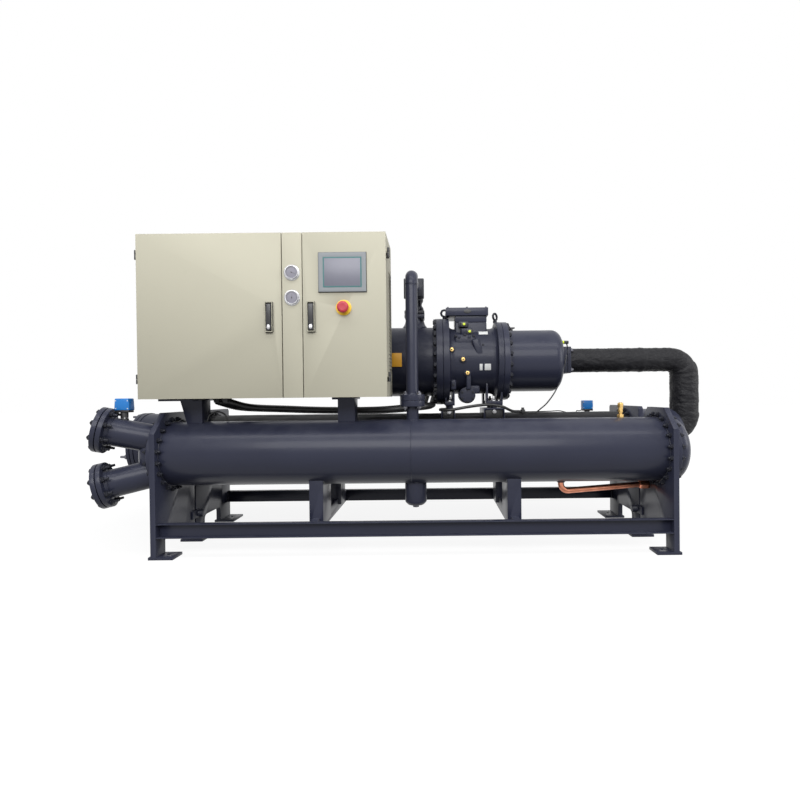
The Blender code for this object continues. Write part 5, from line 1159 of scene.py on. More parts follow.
# %% Feet
FEET = ((BODY_START, (-0.032, 0.033)), (BODY_END, (-0.074, 0.037)))
FOOT_SPREAD = 0.120
for place, ends in FEET:
    for side in (-1, 1):
        across = axis_middle.y + side * FOOT_SPREAD
        start_x, end_x = place + ends[0], place + ends[1]
        blocks.append(slab((start_x, across - 0.040, 0.8272), (end_x, across + 0.040, 0.856), 0.003))
        blocks.append(disc(((start_x + end_x) / 2, across, 0.8062), UP, 0.030, 0.022, 0.001, 32))
        for x in (start_x, end_x - 0.013):
            rib = slab((x, across - 0.040, 0.850), (x + 0.013, across + 0.040, 0.976), 0.002)
            blocks.append(rib)
piece("compressor_casting", together(casting, *blocks), enamel_cast,
      stands_for=["compressor_body"], angle=40)

# %% Small parts of the body
body_bolts = ring((COVER_X, depth(0.5355), COVER_HEIGHT), FORWARD, 0.041, 6)
for x, far, z in (
    (0.262, 0.5455, 1.208), (0.380, 0.5455, 1.208), (0.262, 0.5455, 1.288), (0.380, 0.5455, 1.288),
    (0.321, 0.5455, 1.202), (0.321, 0.5455, 1.294), (0.242, 0.5405, 0.965), (0.440, 0.5400, 1.225),
):
    body_bolts.append(facing((x, depth(far), z), FORWARD))
piece("casting_screws", stamped(fastener(0.009, 0.0), body_bolts), enamel_dark, angle=30)
port_profile = [(0, 0.0155), (0.009, 0.0155), (0.012, 0.0115)]
brass_port = hollow(port_profile, 0.005, ORIGIN, UP, 6)
piece("brass_ports", stamped(brass_port, ports), brass, angle=25)

saddle_bolts = []
for place, ends in FEET:
    for side in (-1, 1):
        middle_x = place + (ends[0] + ends[1]) / 2
        saddle_bolts.append(Matrix.Translation((middle_x, axis_middle.y + side * FOOT_SPREAD, 0.856)))
piece("foot_bolts", stamped(fastener(0.018, 0.016), saddle_bolts), zinc, angle=30)
side_bolts = [facing((x, axis_middle.y - 0.1602, 0.783), FORWARD) for x in (0.214, 0.516)]
piece("saddle_screws", stamped(fastener(0.013, 0.008), side_bolts), zinc, angle=30)

# %% Solenoid valves and blank plates
COILS = ((0.317, 1.366, 0.021), (0.354, 1.318, 0.020))
coils = []
for x, z, size in COILS:
    coils.append(slab((x - size, depth(0.560), z - 0.017), (x + size, depth(0.600), z + 0.017), 0.004))
    coils.append(disc((x, depth(0.562), z), FORWARD, 0.010, 0.010, 0.001, 32))
piece("solenoid_coils", together(*coils), black_plastic)
marks = [disc((x, depth(0.5525), z), FORWARD, 0.003, 0.0085, 0.001, 24) for x, z, size in COILS]
piece("solenoid_caps", together(*marks), lime_plastic)
whites = [
    ((0.418, 1.292), (0.480, 1.332)), ((0.415, 1.058), (0.434, 1.100)), ((0.448, 1.058), (0.489, 1.100)),
]
plates = []
for (x_low, z_low), (x_high, z_high) in whites:
    middle_share = ((z_low + z_high) / 2 - COMPRESSOR_HEIGHT) / BODY_RADIUS
    turn = math.asin(max(-0.99, min(0.99, middle_share)))
    plate = slab((x_low, -0.0012, -(z_high - z_low) / 2), (x_high, 0.0012, (z_high - z_low) / 2), 0.0004)
    bmesh.ops.rotate(plate, cent=ORIGIN, matrix=Matrix.Rotation(-turn, 3, "X"), verts=plate.verts)
    spot = on_body(0, middle_share, 0.0010)
    bmesh.ops.translate(plate, vec=(0, spot.y, spot.z), verts=plate.verts)
    plates.append(plate)
piece("blank_plates", together(*plates), plate_white)

# %% Eye bolts
def eye_bolt(place, turn):
    """Lifting eye: a ring on a short collar."""
    made = weld_ring(ORIGIN, BACKWARD, 0.0225, 0.0075)
    set_up = Matrix.Translation(place) @ Matrix.Rotation(turn, 4, "Z")
    bmesh.ops.transform(made, matrix=set_up, verts=made.verts)
    collar = disc((place[0], place[1], place[2] - 0.044), UP, 0.018, 0.014, 0.003, 32)
    return together(made, collar)


eyes = [eye_bolt((0.192, axis_middle.y, 1.468), 0.0), eye_bolt((0.545, axis_middle.y, 1.440), 0.85)]
piece("eye_bolts", together(*eyes), enamel_dark, angle=60)

# %% [markdown]
# ## Motor housing, suction flange and terminal box
# The motor housing is a plain turned shell with a rounded end.  The terminal box is folded sheet under a
# lid, with screws along its edge and a round knock-out in front.

# %% Motor housing
MOTOR_LENGTH = 0.4132
MOTOR_ROUNDING = 0.062
motor_profile = [(0, 0.270), (MOTOR_FLANGE, 0.270), (MOTOR_FLANGE, 0.226), (0.048, 0.212)]
for turn in arc(18, 0, math.pi / 2):
    motor_profile.append((MOTOR_LENGTH - MOTOR_ROUNDING + MOTOR_ROUNDING * math.sin(turn),
                          0.150 + MOTOR_ROUNDING * math.cos(turn)))
motor_start = axis_middle + Vector((BODY_END + MOTOR_FLANGE + TOUCH, 0, 0))
motor = lathed(motor_profile, 0.004, motor_start, RIGHTWARD, 160)
piece("motor_shell", motor, enamel_smooth, stands_for=["motor_housing"], angle=40)
small_fitting = together(
    disc((0.660, axis_middle.y, 1.338), UP, 0.020, 0.009, 0.001, 24),
    slab((0.640, axis_middle.y - 0.008, 1.356), (0.682, axis_middle.y + 0.008, 1.366), 0.002),
)
piece("motor_sensor", small_fitting, black_plastic)

# %% Suction flange
MOTOR_END = 0.988
FLANGE_FACES = (1.000, 1.052)
neck_start = axis_middle + Vector((MOTOR_END + TOUCH, 0, 0))
neck = lathed([(0, 0.086), (0.010, 0.080), (0.0123, 0.080)], 0.001, neck_start, RIGHTWARD, 80)
plates = []
for start_x, end_x in ((FLANGE_FACES[0], 1.0245), (1.0275, FLANGE_FACES[1])):
    plates.append(slab((start_x, axis_middle.y - 0.090, COMPRESSOR_HEIGHT - 0.090),
                       (end_x, axis_middle.y + 0.090, COMPRESSOR_HEIGHT + 0.090), 0.004, 3))
plates.append(slab((1.0240, axis_middle.y - 0.084, COMPRESSOR_HEIGHT - 0.084),
                   (1.0280, axis_middle.y + 0.084, COMPRESSOR_HEIGHT + 0.084), 0.0))
piece("suction_plates", together(neck, *plates), enamel_cast, stands_for=["suction_flange"], angle=40)
corner_bolts = []
for across in (-0.066, 0.066):
    for up in (-0.066, 0.066):
        outer = axis_middle + Vector((FLANGE_FACES[1], across, up))
        inner = axis_middle + Vector((FLANGE_FACES[0], across, up))
        corner_bolts.append(facing(outer, RIGHTWARD))
        corner_bolts.append(facing(inner, LEFTWARD) @ Matrix.Scale(0.75, 4))
piece("suction_bolts", stamped(fastener(0.016, 0.006), corner_bolts), zinc_dark, angle=30)
SERVICE_X = 0.950
SERVICE_HEIGHT = 1.252
service_y = axis_middle.y - 0.055
service = together(
    disc((SERVICE_X, service_y, 1.205), UP, 0.075, 0.006, 0.001, 20),
    disc((SERVICE_X, service_y, SERVICE_HEIGHT), RIGHTWARD, 0.060, 0.0075, 0.001, 20),
)
piece("service_stem", service, brass)
collar = disc((1.000, service_y, SERVICE_HEIGHT), RIGHTWARD, 0.010, 0.0125, 0.001, 24)
piece("service_collar", collar, lime_plastic)
cap = disc((1.012, service_y, SERVICE_HEIGHT), RIGHTWARD, 0.030, 0.0115, 0.003, 24)
piece("service_cap", cap, black_plastic)

# %% Terminal box
half_box = 0.120
lid_half = 0.135
box = slab((0.262, axis_middle.y - half_box, 1.3893), (0.474, axis_middle.y + half_box, 1.440), 0.002)
lid = slab((0.199, axis_middle.y - lid_half, 1.432), (0.484, axis_middle.y + lid_half, 1.485), 0.0025)
piece("terminal_box_sheet", together(box, lid), enamel_smooth, stands_for=["terminal_box"], angle=40)
oval = disc(ORIGIN, FORWARD, 0.004, 0.017, 0.001, 40)
bmesh.ops.scale(oval, vec=(1.45, 1, 0.75), verts=oval.verts)
bmesh.ops.translate(oval, vec=(0.345, axis_middle.y - lid_half, 1.459), verts=oval.verts)
piece("terminal_box_plug", oval, black_plastic)
lid_screws = []
for x in (0.214, 0.342, 0.470):
    for across in (-0.122, 0.122):
        lid_screws.append(Matrix.Translation((x, axis_middle.y + across, 1.485)))
piece("terminal_box_screws", stamped(fastener(0.007, 0.0), lid_screws), zinc_dark, angle=30)

# %% Rubber blocks in the saddles
blocks = []
for label in ("left", "right"):
    low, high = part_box(f"compressor_saddle_{label}")
    blocks.append(slab((low.x + 0.010, low.y + 0.012, high.z - 0.072),
                       (high.x - 0.010, high.y - 0.012, high.z - 0.008), 0.004))
piece("saddle_rubbers", together(*blocks), black_plastic)

# %% Glands behind the terminal box
box_back = axis_middle.y + half_box
glands = [gland((x, box_back, 1.402), BACKWARD, 0.030, 0.0275, 0.006) for x in (0.318, 0.399)]
piece("terminal_box_glands", together(*glands), zinc, angle=25)

# %% [markdown]
# ## Discharge line
# A cast valve stands on the separator, with square bolted flanges below and in front.  From it a pipe
# turns down to the condenser, through a pair of round flanges.

# %% Discharge valve
VALVE_SEAT = 1.455 + TOUCH
valve_middle = (DISCHARGE_X, axis_middle.y, VALVE_SEAT)
valve_profile = [
    (0.020, 0.064), (0.050, 0.062), (0.066, 0.050), (0.080, 0.050), (0.098, 0.060), (0.205, 0.060),
    (0.222, 0.052), (0.2327, 0.030),
]
valve_body = lathed(valve_profile, 0.006, valve_middle, UP, 80)
VALVE_PLATE = 0.026
DISCHARGE_TOP = 1.616
low_plate = slab((DISCHARGE_X - VALVE_HALF, axis_middle.y - VALVE_HALF, VALVE_SEAT),
                 (DISCHARGE_X + VALVE_HALF, axis_middle.y + VALVE_HALF, VALVE_SEAT + VALVE_PLATE), 0.005, 3)
valve_front = depth(0.620)
face_plate = slab((DISCHARGE_X - VALVE_HALF, valve_front, 1.552),
                  (DISCHARGE_X + VALVE_HALF, valve_front + VALVE_PLATE, 1.688), 0.006, 3)
outlet = disc((DISCHARGE_X, valve_front + 0.001, DISCHARGE_TOP), BACKWARD, 0.115, 0.052, 0.004)
ribs = []
for turn in arc(4, math.pi / 4, math.pi * 7 / 4):
    rib = slab((0.046, -0.006, 0.030), (0.064, 0.006, 0.200), 0.004)
    place = Matrix.Translation(valve_middle) @ Matrix.Rotation(turn, 4, "Z")
    bmesh.ops.transform(rib, matrix=place, verts=rib.verts)
    ribs.append(rib)
piece("valve_casting", together(valve_body, low_plate, face_plate, outlet, *ribs), enamel_dark,
      stands_for=["discharge_valve"], angle=40)
valve_bolts = []
for across in (-0.050, 0.050):
    for other in (-0.050, 0.050):
        top = Vector((DISCHARGE_X + across, axis_middle.y + other, VALVE_SEAT + VALVE_PLATE))
        valve_bolts.append(Matrix.Translation(top))
        valve_bolts.append(facing(top - Vector((0, 0, 0.0525)), DOWN))
        front = Vector((DISCHARGE_X + across, valve_front + VALVE_PLATE, DISCHARGE_TOP + other))
        valve_bolts.append(facing(front, BACKWARD))
piece("valve_bolts", stamped(fastener(0.014, 0.006), valve_bolts), enamel_dark, angle=30)

# %% Elbow and riser
PIPE_RADIUS = 0.036
BEND = 0.056
riser_top = DISCHARGE_TOP - BEND - 0.008
elbow_start = Vector((DISCHARGE_X, depth(CONDENSER_AXIS), riser_top))
elbow_corner = Vector((DISCHARGE_X, depth(CONDENSER_AXIS), DISCHARGE_TOP))
elbow_end = Vector((DISCHARGE_X, valve_front - TOUCH, DISCHARGE_TOP))
elbow_path = [elbow_start, *eased(elbow_corner, elbow_start, elbow_end, BEND, 20), elbow_end]
elbow = swept(elbow_path, [PIPE_RADIUS] * len(elbow_path), 64)
counter = slab((DISCHARGE_X - 0.060, valve_front - 0.022, DISCHARGE_TOP - 0.056),
               (DISCHARGE_X + 0.060, valve_front - TOUCH, DISCHARGE_TOP + 0.056), 0.006, 3)
elbow_beads = [
    weld_ring(elbow_path[1], UP, PIPE_RADIUS, 0.0022),
    weld_ring(elbow_path[-2], BACKWARD, PIPE_RADIUS, 0.0022),
    weld_ring((DISCHARGE_X, valve_front - 0.024, DISCHARGE_TOP), BACKWARD, PIPE_RADIUS, 0.0035),
]
piece("discharge_bend", together(elbow, *elbow_beads), enamel_smooth, stands_for=["discharge_elbow"])
piece("discharge_counter_flange", counter, enamel_dark, angle=40)
riser_profile = [(0, 0.074), (0.035, 0.074), (0.0355, 0.0395), (0.042, PIPE_RADIUS), (0.6845, PIPE_RADIUS)]
riser_foot = (DISCHARGE_X, depth(CONDENSER_AXIS), 0.8672)
riser = lathed(riser_profile, 0.003, riser_foot, UP, 72)
piece("discharge_pipe", riser, enamel_smooth, stands_for=["discharge_riser"])
flange_bolts = ring((DISCHARGE_X, depth(CONDENSER_AXIS), 0.9022), UP, 0.0575, 4, 0.5)
flange_bolts += ring((DISCHARGE_X, depth(CONDENSER_AXIS), 0.832), DOWN, 0.0575, 4, 0.5)
piece("discharge_bolts", stamped(fastener(0.014, 0.008), flange_bolts), zinc_dark, angle=30)

# %% [markdown]
# ## Suction pipe
# The pipe is wrapped in the same foam as the shell, with tape round its joints.  On the bends the foam
# wrinkles, so the skin is pushed in and out by noise that is stretched round the pipe.

# %% Suction pipe
SUCTION_X = 1.862
outlet_height = SHELL_HEIGHT + 0.082
suction_corners = [
    Vector((SHEET_OUTER + 0.200, axis_middle.y, outlet_height)),
    Vector((SUCTION_X, axis_middle.y, outlet_height)),
    Vector((SUCTION_X, axis_middle.y, COMPRESSOR_HEIGHT)),
    Vector((1.052 + TOUCH, axis_middle.y, COMPRESSOR_HEIGHT)),
]
lower_bend = eased(suction_corners[1], suction_corners[0], suction_corners[2], 0.100, 24)
upper_bend = eased(suction_corners[2], suction_corners[1], suction_corners[3], 0.110, 24)


def stretch(start, end, size):
    """Points between two ends, about a size apart."""
    steps = max(1, int((end - start).length / size))
    return [start.lerp(end, step / steps) for step in range(1, steps)]


suction_path = [
    suction_corners[0], *stretch(suction_corners[0], lower_bend[0], 0.010), *lower_bend,
    *stretch(lower_bend[-1], upper_bend[0], 0.008), *upper_bend,
    *stretch(upper_bend[-1], suction_corners[3], 0.010), suction_corners[3],
]
travel = 0.0
suction_radii = []
for index, point in enumerate(suction_path):
    if index:
        travel += (point - suction_path[index - 1]).length
    base = 0.095 if point.x > SUCTION_X - 0.02 or point.z < 0.9 else 0.0855
    if point.z > COMPRESSOR_HEIGHT - 0.115 and point.x > SUCTION_X - 0.112:
        base = 0.095 - 0.0095 * min(1.0, (point.z - COMPRESSOR_HEIGHT + 0.115) / 0.115)
    crease = 0.0026 * noise.noise(Vector((travel * 60, 0.3, 1.7)))
    tape = 0.0022 if any(abs(travel - joint) < 0.020 for joint in (0.245, 0.560, 0.900)) else 0.0
    suction_radii.append(base - 0.0030 + crease + tape)
suction_skin = swept(suction_path, suction_radii, 72)
for vert in suction_skin.verts:
    wave = noise.noise(Vector((vert.co.x * 34, vert.co.y * 11, vert.co.z * 34)))
    fine = noise.noise(Vector((vert.co.x * 95, vert.co.y * 40, vert.co.z * 95)))
    vert.co += (vert.co - axis_middle).normalized() * (0.0022 * wave + 0.0007 * fine)
piece("suction_jacket", suction_skin, suction_foam, stands_for=["suction_pipe"], angle=80)
print("suction pipe", round(travel, 3), "m long")

# %% [markdown]
# ## Control cabinet
# The cabinet is folded sheet with a powder coat.  Its shell, frame and doors are softened copies of the
# solids.  What was too thin for the solids is added here: the rubber seals, black hinge covers, louvres in
# the right side, lock cases with their chrome buttons, dials and the panel's frame.

# %% Cabinet shell
CABINET_LEFT = -1.521
CABINET_RIGHT = -0.1445
CABINET_BOTTOM = 0.891
CABINET_TOP = 1.801
for node, body in (
    ("cabinet_shell", "base"), ("cabinet_frame", "base"), ("centre_strip", "base"),
    ("left_door", "left_door"), ("right_door", "right_door"),
):
    piece(f"{node}_sheet", softened(node, 0.0012), beige_coat, body, [node], angle=40)
piece("mounting_plate_sheet", softened("mounting_plate", 0.0006), zinc, stands_for=["mounting_plate"])

# %% Louvres in the right side
louvre_cells = []
opening_shades = []
for index in range(27):
    height = 1.055 + index * 0.0215
    louvre = slab((CABINET_RIGHT - 0.0005, depth(0.165), height),
                  (CABINET_RIGHT + 0.0035, depth(0.305), height + 0.008), 0.0012, 2)
    for vert in louvre.verts:
        if vert.co.x > CABINET_RIGHT + 0.001 and vert.co.z > height + 0.004:
            vert.co.x -= 0.0025
    louvre_cells.append(louvre)
    # Black strip under each louvre: painted shade standing for the dark opening into the cabinet, which is
    # not cut.
    opening_shades.append(slab((CABINET_RIGHT - 0.0004, depth(0.168), height - 0.0035),
                      (CABINET_RIGHT + 0.0004, depth(0.302), height + 0.0005), 0.0))
piece("louvres", together(*louvre_cells), beige_coat, angle=40)
piece("louvre_opening_shades", together(*opening_shades), black_plastic)

# %% Door seals
def seal(name, start, end, body):
    """Soft seal round the inside of a door, in four runs."""
    y = depth(0.0235)
    low, high = CABINET_BOTTOM + 0.012, CABINET_TOP - 0.012
    runs = [
        slab((start + 0.004, y - 0.0025, low), (start + 0.014, y + 0.0022, high), 0.0012),
        slab((end - 0.014, y - 0.0025, low), (end - 0.004, y + 0.0022, high), 0.0012),
        slab((start + 0.004, y - 0.0025, low), (end - 0.004, y + 0.0022, low + 0.010), 0.0012),
        slab((start + 0.004, y - 0.0025, high - 0.010), (end - 0.004, y + 0.0022, high), 0.0012),
    ]
    piece(name, together(*runs), black_plastic, body)


seal("left_door_seal", CABINET_LEFT, -0.7215, "left_door")
seal("right_door_seal", -0.603, CABINET_RIGHT, "right_door")

# %% Hinges
for side, edge, label in ((-1, CABINET_LEFT, "left"), (1, CABINET_RIGHT, "right")):
    x = edge + side * 0.0125
    y = depth(0.022)
    covers = []
    fixed = []
    for height in (CABINET_BOTTOM + 0.110, CABINET_TOP - 0.110):
        covers.append(disc((x, y, height + 0.0006), UP, 0.0252, 0.0078, 0.0015, 40))
        covers.append(disc((x, y, height + 0.0254), UP, 0.0030, 0.0060, 0.0010, 40))
        fixed.append(disc((x, y, height - 0.0256), UP, 0.0250, 0.0078, 0.0015, 40))
        ends = sorted((x + side * 0.0046, edge + side * 0.0006))
        fixed.append(slab((ends[0], depth(0.0266), height - 0.0254),
                          (ends[1], depth(0.0524), height + 0.0001), 0.0012))
    piece(f"{label}_hinge_covers", together(*covers), black_plastic, f"{label}_door")
    piece(f"{label}_hinge_blocks", together(*fixed), black_plastic)

# %% Locks
LOCK_HEIGHT = 1.336
for label, lock_x in (("left", -0.789), ("right", -0.558)):
    case = dished_box((lock_x - 0.0216, depth(-0.0176), LOCK_HEIGHT - 0.0831),
                      (lock_x + 0.0216, depth(0.0002), LOCK_HEIGHT + 0.0831), 0.0046, depth(-0.0008), 0.0008)
    piece(f"{label}_lock_case", case, black_plastic, f"{label}_door")
    lever = softened(f"{label}_lock_lever", 0.0012)
    piece(f"{label}_lock_handle", lever, black_satin, f"{label}_lever", [f"{label}_lock_lever"])
    button = disc((lock_x, depth(-0.0188), LOCK_HEIGHT - 0.055), FORWARD, 0.0016, 0.0105, 0.0005, 48)
    bmesh.ops.scale(button, vec=(0.9, 1, 1.25), verts=button.verts,
                    space=Matrix.Translation((-lock_x, 0, -(LOCK_HEIGHT - 0.055))))
    barrel_lock = disc((lock_x, depth(-0.0200), LOCK_HEIGHT - 0.057), FORWARD, 0.0018, 0.0062, 0.0005, 48)
    piece(f"{label}_lock_button", button, bright_steel, f"{label}_lever")
    piece(f"{label}_lock_barrel", barrel_lock, zinc, f"{label}_lever")
    # Thin black slab on the barrel: painted shade of the key slit, which is not cut.
    key_slit_shade = slab((lock_x - 0.0010, depth(-0.0222), LOCK_HEIGHT - 0.0605),
                (lock_x + 0.0010, depth(-0.0212), LOCK_HEIGHT - 0.0535), 0.0)
    piece(f"{label}_lock_key_slit_shade", key_slit_shade, black_plastic, f"{label}_lever")

# %% Gauges
GAUGE_X = -0.66225
for label, height, needle_turn in (("upper", 1.580, 1.95), ("lower", 1.442, 0.12)):
    centre = Vector((GAUGE_X, depth(-TOUCH), height))
    rim_profile = [
        (0, 0.044), (0.002, 0.044), (0.004, 0.042), (0.004, 0.0375), (0.011, 0.0370), (0.012, 0.0355),
        (0.012, 0.0330), (0.0082, 0.0325),
    ]
    rim = lathed(rim_profile, 0.0006, centre, FORWARD)
    piece(f"{label}_gauge_rim", rim, bright_steel, stands_for=[f"{label}_gauge"])
    screws = ring(centre + Vector((0, -0.0040, 0)), FORWARD, 0.0405, 3, 0.25)
    piece(f"{label}_gauge_screws", stamped(disc(ORIGIN, UP, 0.0012, 0.0022, 0.0004, 16), screws), zinc)
    dial = disc(centre + Vector((0, -0.0080, 0)), FORWARD, 0.0006, 0.0323, 0.0002, 72)
    piece(f"{label}_gauge_dial", dial, dial_white)
    ticks = []
    for index, turn in enumerate(arc(31, -2.25, 2.25)):
        length = 0.0050 if index % 5 == 0 else 0.0028
        tick = slab((-0.0004, -0.0002, 0.0285 - length), (0.0004, 0.0002, 0.0285), 0.0)
        bmesh.ops.rotate(tick, cent=ORIGIN, matrix=Matrix.Rotation(turn, 3, "Y"), verts=tick.verts)
        bmesh.ops.translate(tick, vec=centre + Vector((0, -0.0088, 0)), verts=tick.verts)
        ticks.append(tick)
    needle = slab((-0.0008, -0.0003, -0.0080), (0.0008, 0.0003, 0.0235), 0.0002)
    for vert in needle.verts:
        if vert.co.z > 0.02:
            vert.co.x *= 0.3
    bmesh.ops.rotate(needle, cent=ORIGIN, matrix=Matrix.Rotation(needle_turn, 3, "Y"), verts=needle.verts)
    bmesh.ops.translate(needle, vec=centre + Vector((0, -0.0097, 0)), verts=needle.verts)
    hub = disc(centre + Vector((0, -0.0088, 0)), FORWARD, 0.0016, 0.0030, 0.0004, 24)
    piece(f"{label}_gauge_marks", together(*ticks, needle, hub), black_plastic)

# %% Operator panel
DOOR_WIDTH = 0.4585
PANEL_X = CABINET_RIGHT - DOOR_WIDTH * 0.521
PANEL_Z = 1.579
PANEL_HALF_WIDTH = 0.131
PANEL_HALF_HEIGHT = 0.108


def panel_corners(inset, front, back):
    """Lower front and upper back corner of a layer of the panel, set in from its outline."""
    across = PANEL_HALF_WIDTH - inset
    up = PANEL_HALF_HEIGHT - inset
    return (PANEL_X - across, depth(front), PANEL_Z - up), (PANEL_X + across, depth(back), PANEL_Z + up)


bezel = dished_box(*panel_corners(0, -0.010, -TOUCH), 0.026, depth(-0.0070), 0.0016)
piece("panel_bezel", bezel, panel_grey, "right_door", ["operator_panel"])
surround = dished_box(*panel_corners(-0.0025, -0.0045, -0.0002), 0.0015, depth(-0.0035), 0.0008)
piece("panel_seal", surround, black_satin, "right_door")
green_frame = dished_box(*panel_corners(0.0245, -0.0086, -0.0060), 0.0075, depth(-0.0078), 0.0004)
piece("panel_frame", green_frame, panel_green, "right_door")
piece("panel_screen", slab(*panel_corners(0.0318, -0.0081, -0.0068), 0.0003), screen_grey, "right_door")

# %% Stop button
STOP_X = CABINET_RIGHT - DOOR_WIDTH * 0.511
STOP_Z = 1.384
stop_face = Vector((STOP_X, depth(-TOUCH), STOP_Z))
collar_profile = [
    (0.0, 0.043), (0.0030, 0.043), (0.0040, 0.0415), (0.0040, 0.022), (0.0050, 0.020), (0.0137, 0.020),
]
collar = hollow(collar_profile, 0.0115, stop_face, FORWARD, 96)
piece("stop_plate", collar, stop_yellow, "right_door", ["stop_collar"])
start = Vector((STOP_X, depth(0.011), STOP_Z))
stem = 0.011 + 0.025
crown = [(0, 0), (0, 0.011), (stem, 0.011), (stem, 0.027), (stem + 0.003, 0.0315), (stem + 0.009, 0.032),
         (stem + 0.012, 0.030), (stem + 0.0150, 0.026), (stem + 0.0165, 0.020), (stem + 0.0160, 0.012),
         (stem + 0.0156, 0.0)]
mushroom = turned(rounded(crown, 0.0015), start, FORWARD, 96)
piece("stop_mushroom", mushroom, stop_red, "stop_button", ["stop_button"])
arrows = []
for index in range(3):
    turn = index * 2 * math.pi / 3
    mark = slab((-0.0075, -0.0003, 0.0150), (0.0075, 0.0003, 0.0172), 0.0)
    bmesh.ops.rotate(mark, cent=ORIGIN, matrix=Matrix.Rotation(turn, 3, "Y"), verts=mark.verts)
    bmesh.ops.translate(mark, vec=start + Vector((0, -(stem + 0.0164), 0)), verts=mark.verts)
    arrows.append(mark)
piece("stop_marks", together(*arrows), stop_red, "stop_button")

# %% [markdown]
# ## Inside the cabinet
# The photograph shows the doors closed, so what is behind them is a guess: wiring ducts, a row of breakers,
# contactors and terminals on the mounting plate, as such a cabinet has.  They are plain and modest.

# %% Cabinet equipment
DUCT_HEIGHTS = (0.985, 1.215, 1.445, 1.700)
plate_y = depth(0.297)
ducts = []
for z in DUCT_HEIGHTS:
    ducts.append(slab((-1.440, plate_y - 0.055, z - 0.020), (-0.225, plate_y - TOUCH, z + 0.020), 0.002))
for x in (-1.450, -0.222):
    ducts.append(slab((x - 0.020, plate_y - 0.055, 0.965), (x + 0.020, plate_y - TOUCH, 1.720), 0.002))
piece("wiring_ducts", together(*ducts), panel_grey)
teeth = []
for z in DUCT_HEIGHTS:
    for index in range(48):
        x = -1.420 + index * 0.0250
        teeth.append(Matrix.Translation((x, plate_y - 0.0555, z)))
# Thin black slab at each gap of the ducts: painted shade of the slot, which is not cut.
slot_shade_shape = slab((-0.0015, -0.0004, -0.014), (0.0015, 0.0004, 0.014), 0.0)
piece("duct_slot_shades", stamped(slot_shade_shape, teeth), black_plastic)
blocks = []
tops = []
for index in range(12):
    x = -1.390 + index * 0.036
    blocks.append(slab((x, plate_y - 0.070, 1.535), (x + 0.034, plate_y - TOUCH, 1.615), 0.002))
    tops.append(slab((x + 0.011, plate_y - 0.078, 1.565), (x + 0.023, plate_y - 0.068, 1.590), 0.001))
for index in range(4):
    x = -1.380 + index * 0.150
    blocks.append(slab((x, plate_y - 0.120, 1.275), (x + 0.110, plate_y - TOUCH, 1.395), 0.004))
    tops.append(slab((x + 0.015, plate_y - 0.128, 1.300), (x + 0.095, plate_y - 0.118, 1.370), 0.003))
blocks.append(slab((-0.860, plate_y - 0.090, 1.500), (-0.640, plate_y - TOUCH, 1.640), 0.004))
blocks.append(slab((-0.560, plate_y - 0.075, 1.500), (-0.300, plate_y - TOUCH, 1.600), 0.004))
for index in range(30):
    x = -1.390 + index * 0.012
    tops.append(slab((x, plate_y - 0.045, 1.060), (x + 0.0105, plate_y - TOUCH, 1.120), 0.001))
piece("cabinet_devices", together(*blocks), panel_grey)
piece("cabinet_device_tops", together(*tops), black_satin)
rails = [slab((-1.410, plate_y - 0.008, z - 0.0175), (-0.260, plate_y - TOUCH, z + 0.0175), 0.001)
         for z in (1.090, 1.335, 1.575)]
piece("device_rails", together(*rails), zinc)

# %% [markdown]
# ## Conduits and leads
# Two power conduits leave the cabinet's bottom, lie on the shells under the separator and rise behind the
# compressor into the terminal box.  They are corrugated hoses of one length that go back into the
# machine.  Their routes are the ones that the solids have.  Thin leads from
# the flow switch and the sensor meet in a knob, from which one thicker lead goes on to the left.

# %% Routes
SHELL_TOP = SHELL_HEIGHT + SHELL_RADIUS
CONDUIT_RADIUS = 0.0225


def smooth_route(points, steps):
    """Points of a smooth curve through the chosen points of a route."""
    route = []
    points = [Vector(point) for point in points]
    padded = [2 * points[0] - points[1], *points, 2 * points[-1] - points[-2]]
    for first, second, third, fourth in zip(padded, padded[1:], padded[2:], padded[3:]):
        for step in range(steps):
            t = step / steps
            route.append(
                second + (third - first) * (t / 2)
                + (2 * first - 5 * second + 4 * third - fourth) * (t * t / 2)
                + (3 * second - first - 3 * third + fourth) * (t ** 3 / 2)
            )
    route.append(points[-1])
    return route


def path_length(path):
    """Length along a path."""
    return sum((after - before).length for before, after in zip(path, path[1:]))


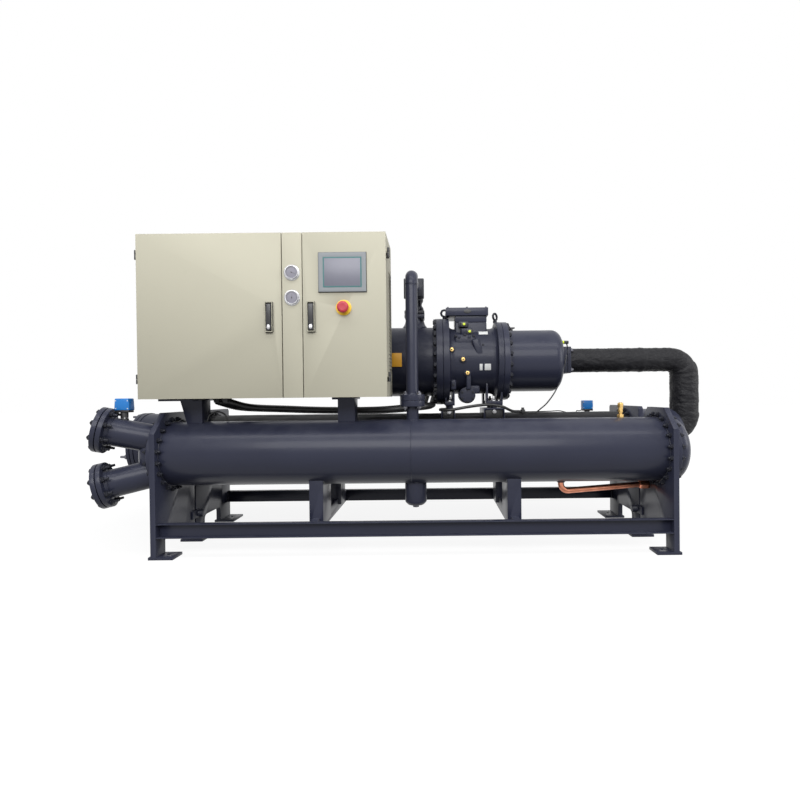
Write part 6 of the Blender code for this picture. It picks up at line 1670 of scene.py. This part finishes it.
# %% Power conduits
box_rear = EVAPORATOR_AXIS + half_box
box_height = 1.432 - CONDUIT_RADIUS - 0.0075
for label, step in (("front", 0.0), ("rear", 0.054)):
    start_x = -1.130 - 1.4 * step
    end_x = 0.474 - 0.075 - 1.5 * step
    turn_x = 0.132 - 0.034 - 1.1 * step
    route = [
        (start_x, depth(0.240 + step), CABINET_BOTTOM - TOUCH),
        (start_x, depth(0.240 + step), CABINET_BOTTOM - 0.018),
        (start_x + 0.110, depth(0.320 + step), SHELL_TOP + 0.0805),
        (start_x + 0.320, depth(0.400 + step), SHELL_TOP + 0.0655),
        (start_x + 0.580, depth(0.445 + step), SHELL_TOP + 0.0535),
        (turn_x - 0.298, depth(0.450 + step), SHELL_TOP + 0.0515),
        (turn_x - 0.055, depth(0.500 + step), SHELL_TOP + 0.0695),
        (turn_x, depth(0.700), SHELL_TOP + 0.0775),
        (turn_x + 0.005, depth(0.900), SHELL_TOP + 0.0875),
        (turn_x + 0.030, depth(1.030), COMPRESSOR_HEIGHT - 0.210),
        (turn_x + 0.115, depth(1.080), COMPRESSOR_HEIGHT - 0.020),
        (end_x - 0.040, depth(1.060), COMPRESSOR_HEIGHT + 0.160),
        (end_x, depth(0.990), box_height - 0.006),
        (end_x, depth(box_rear + 0.050), box_height),
        (end_x, depth(box_rear + TOUCH), box_height),
    ]
    line = [Vector(route[0]), *smooth_route(route[1:-1], 24), Vector(route[-1])]
    ribbed = []
    for before, after in zip(line, line[1:]):
        count = max(1, round((after - before).length / 0.0045))
        ribbed += [before.lerp(after, index / count) for index in range(count)]
    ribbed.append(line[-1])
    radii = [CONDUIT_RADIUS - (0.0016 if index % 2 else 0.0) for index in range(len(ribbed))]
    conduit = piece(f"conduit_{label}", swept(ribbed, radii, 28), cable_black,
                    stands_for=[f"power_conduit_{label}"], angle=60)
    path_length(line)
    print("conduit", label, round(path_length(line), 3), "m")
    piece(f"conduit_gland_{label}", gland(route[0], DOWN, 0.031, 0.0265, 0.012), black_plastic, angle=25)


# %% Thin leads
def lead(name, points, radius):
    """Thin lead that goes from one part of the machine to another."""
    line = smooth_route(points, 8)
    made = piece(name, swept(line, [radius] * len(line), 12), cable_black, angle=60)
    path_length(line)
    print(name, round(path_length(line), 3), "m")


EVAPORATOR_TOP = SHELL_HEIGHT + FOAM_RADIUS
lead("sensor_lead", [
    (1.030, depth(0.685), 1.245), (1.031, depth(0.668), 1.210), (1.021, depth(0.655), 1.170),
    (0.990, depth(0.645), 1.034), (0.943, depth(0.640), 0.924), (0.885, depth(0.640), 0.841),
    (0.837, depth(0.650), 0.796), (0.800, depth(0.655), 0.770), (0.765, depth(0.657), EVAPORATOR_TOP - 0.003),
    (0.731, depth(0.660), EVAPORATOR_TOP + 0.004),
], 0.0045)
lead("switch_lead", [
    (CHILLED_PIPE_X - 0.045, depth(1.070), 0.772), (1.220, depth(1.062), 0.768),
    (1.190, depth(1.020), 0.770), (1.160, depth(0.930), 0.752), (1.100, depth(0.840), 0.7555),
    (1.000, depth(0.760), EVAPORATOR_TOP + 0.0050), (0.920, depth(0.715), EVAPORATOR_TOP + 0.0050),
    (0.850, depth(0.690), EVAPORATOR_TOP + 0.0045),
    (0.780, depth(0.672), EVAPORATOR_TOP + 0.0045), (0.731, depth(0.664), EVAPORATOR_TOP + 0.0045),
], 0.0035)
knob_profile = [(0, 0.017), (0.026, 0.017), (0.026, 0.010), (0.040, 0.010)]
knob = lathed(knob_profile, 0.003, (0.720, depth(0.662), EVAPORATOR_TOP - 0.006), UP, 32)
piece("lead_junction", knob, black_plastic, angle=40)
lead("main_lead", [
    (0.709, depth(0.660), EVAPORATOR_TOP + 0.004), (0.690, depth(0.640), EVAPORATOR_TOP + 0.008),
    (0.634, depth(0.580), 0.787), (0.556, depth(0.500), 0.819), (0.475, depth(0.462), 0.832),
    (0.408, depth(0.450), 0.830), (0.330, depth(0.450), 0.820), (0.260, depth(0.452), 0.808),
    (0.200, depth(0.462), 0.800), (0.150, depth(0.500), 0.803),
], 0.0095)
lead("left_loop", [
    (-1.230, depth(0.200), SHELL_TOP + 0.002), (-1.215, depth(0.203), SHELL_TOP + 0.040),
    (-1.172, depth(0.206), SHELL_TOP + 0.058), (-1.130, depth(0.208), SHELL_TOP + 0.042),
    (-1.112, depth(0.210), SHELL_TOP + 0.002),
], 0.0050)
